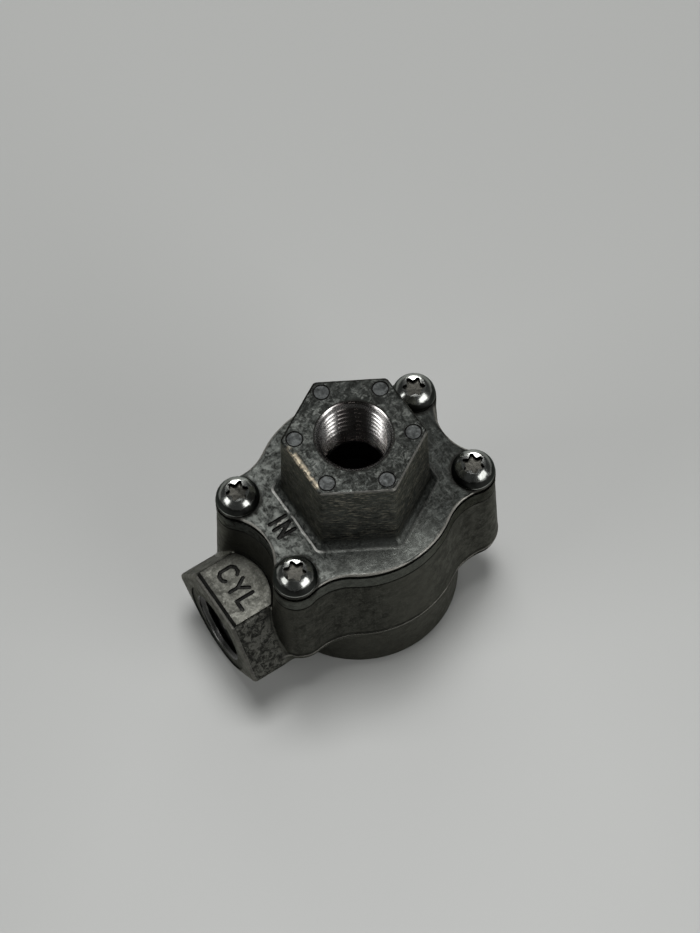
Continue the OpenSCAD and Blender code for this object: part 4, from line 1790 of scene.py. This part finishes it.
@dataclass
class Studio:
    """Floor, lights and camera. Places in metres."""

    floor_size: float = 4.0
    floor_colour: Colour = (0.425, 0.43, 0.418, 1.0)
    floor_rough: float = 0.38
    floor_shine: float = 0.35
    floor_cloud: float = 1.05
    ambient: float = 0.055
    ambient_colour: Colour = (0.96, 1.0, 0.99, 1.0)
    aim: Triple = (0.0, 0.0, 0.025)
    lamps: tuple[Lamp, ...] = (
        Lamp("ceiling_light", way=(0.1, 0.16, 0.98), distance=1.1, size=(0.4, 0.5), power=7.8),
        Lamp("front_light", way=(0.36, -0.87, 0.42), distance=1.0, size=(0.75, 0.55), power=4.2),
        Lamp("left_light", way=(-0.88, 0.15, 0.46), distance=1.0, size=(0.5, 0.45), power=2.2),
        Lamp("back_light", way=(0.48, 0.82, 0.3), distance=1.2, size=(0.8, 0.6), power=4.0),
    )
    camera_place: Triple = (-0.114364, -0.186033, 0.462962)
    camera_right: Triple = (0.83479, -0.55026, -0.01849)
    camera_up: Triple = (0.49563, 0.73643, 0.46045)
    lens: float = 104.384

    def build(self) -> None:
        """Set up the whole studio."""
        self._floor()
        self._world()
        for lamp in self.lamps:
            lamp.add(Vector(self.aim))
        self._camera()

    def _floor(self) -> None:
        """Add the pale floor."""
        clear_selection()
        bpy.ops.mesh.primitive_plane_add(size=self.floor_size)
        floor = bpy.context.object
        floor.name = "floor"
        material, wire, shader = new_material("pale_table")
        cloud = wire.between(wire.noise(3.0, 2.0, 0.5), 0.3, 0.7)
        paler = tuple(channel * self.floor_cloud for channel in self.floor_colour[:3])
        colour = wire.mix(cloud, self.floor_colour, (*paler, 1.0))
        wire.tree.links.new(colour, shader.inputs["Base Color"])
        shader.inputs["Roughness"].default_value = self.floor_rough
        shader.inputs["Specular IOR Level"].default_value = self.floor_shine
        floor.data.materials.append(material)

    def _world(self) -> None:
        """Set a plain grey surrounding."""
        world = bpy.data.worlds.new("studio")
        world.use_nodes = True
        shade = world.node_tree.nodes["Background"]
        shade.inputs["Color"].default_value = self.ambient_colour
        shade.inputs["Strength"].default_value = self.ambient
        bpy.context.scene.world = world

    def _camera(self) -> None:
        """Add the camera at the photograph's viewpoint."""
        clear_selection()
        bpy.ops.object.camera_add()
        camera = bpy.context.object
        camera.name = "camera"
        right = Vector(self.camera_right).normalized()
        up = Vector(self.camera_up).normalized()
        back = right.cross(up)
        turn = Matrix((right, up, back)).transposed().to_4x4()
        camera.matrix_world = Matrix.Translation(Vector(self.camera_place)) @ turn
        camera.data.lens = self.lens
        camera.data.sensor_width = 36.0
        camera.data.clip_start = 0.01
        camera.data.clip_end = 20.0
        bpy.context.scene.camera = camera


def dress_rubber(effects: Effects) -> None:
    """Give the diaphragm and the O-ring their rubber."""
    for node, name in (("diaphragm", "diaphragm_rubber"), ("cover_o_ring", "o_ring_rubber")):
        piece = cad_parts[node]
        material = RubberFinish(name).material(effects)
        piece.data.materials.clear()
        piece.data.materials.append(material)
        log.info("%s dressed", node)


def main() -> None:
    """Build the valve's pieces in order and report each one."""
    logging.basicConfig(level=logging.INFO, format="%(name)s: %(message)s")
    bpy.context.scene.view_settings.view_transform = "Standard"
    Studio().build()
    effects = Effects()
    machined = MachinedFinish("bare_machined").material(effects)
    marked = MarkedFinish("marked_cast").material(effects)
    pins = PinFinish("pin_floor").material(effects)
    outline = Outline()
    body = BodyCasting(outline)
    inlet = ThreadFinish("inlet_thread", Look.UP, (0.0, 0.0, INLET_TOP_Z), black_from=12.2, black_to=13.2)
    outlet = ThreadFinish(
        "cylinder_thread",
        Look.ACROSS,
        body.cylinder_mouth,
        black_from=-0.5,
        black_to=5.0,
        colour=(0.14, 0.14, 0.135, 1.0),
        dull=(0.03, 0.03, 0.029, 1.0),
    )
    cover_cast = CoverFinish("cover_cast").material(effects)
    body_cast = BodyFinish("body_cast").material(effects)
    cover_skins = [cover_cast, machined, marked, pins, inlet.material(effects)]
    body_skins = [body_cast, machined, marked, pins, outlet.material(effects)]
    cover = CoverCasting(outline)
    piece = cover.build()
    cover.dress(piece, cover_skins)
    log.info("cover built with %d faces", len(piece.data.polygons))
    piece = body.build()
    body.dress(piece, body_skins)
    log.info("body built with %d faces", len(piece.data.polygons))
    screws = CoverScrews(outline)
    pieces = screws.build()
    steel = ScrewFinish("plated_steel").material(effects)
    oily = MachinedFinish(
        "oily_recess",
        colour=(0.034, 0.033, 0.029, 1.0),
        dull=(0.008, 0.0078, 0.007, 1.0),
        dull_share=0.9,
        rough=0.34,
        bump=0.7,
    )
    screws.dress(pieces, [steel, steel, marked, oily.material(effects), steel])
    log.info("%d screws built", len(pieces))
    dress_rubber(effects)
    for surface in Surface:
        bpy.data.materials.remove(stand_in(surface))


if __name__ == "__main__":
    main()
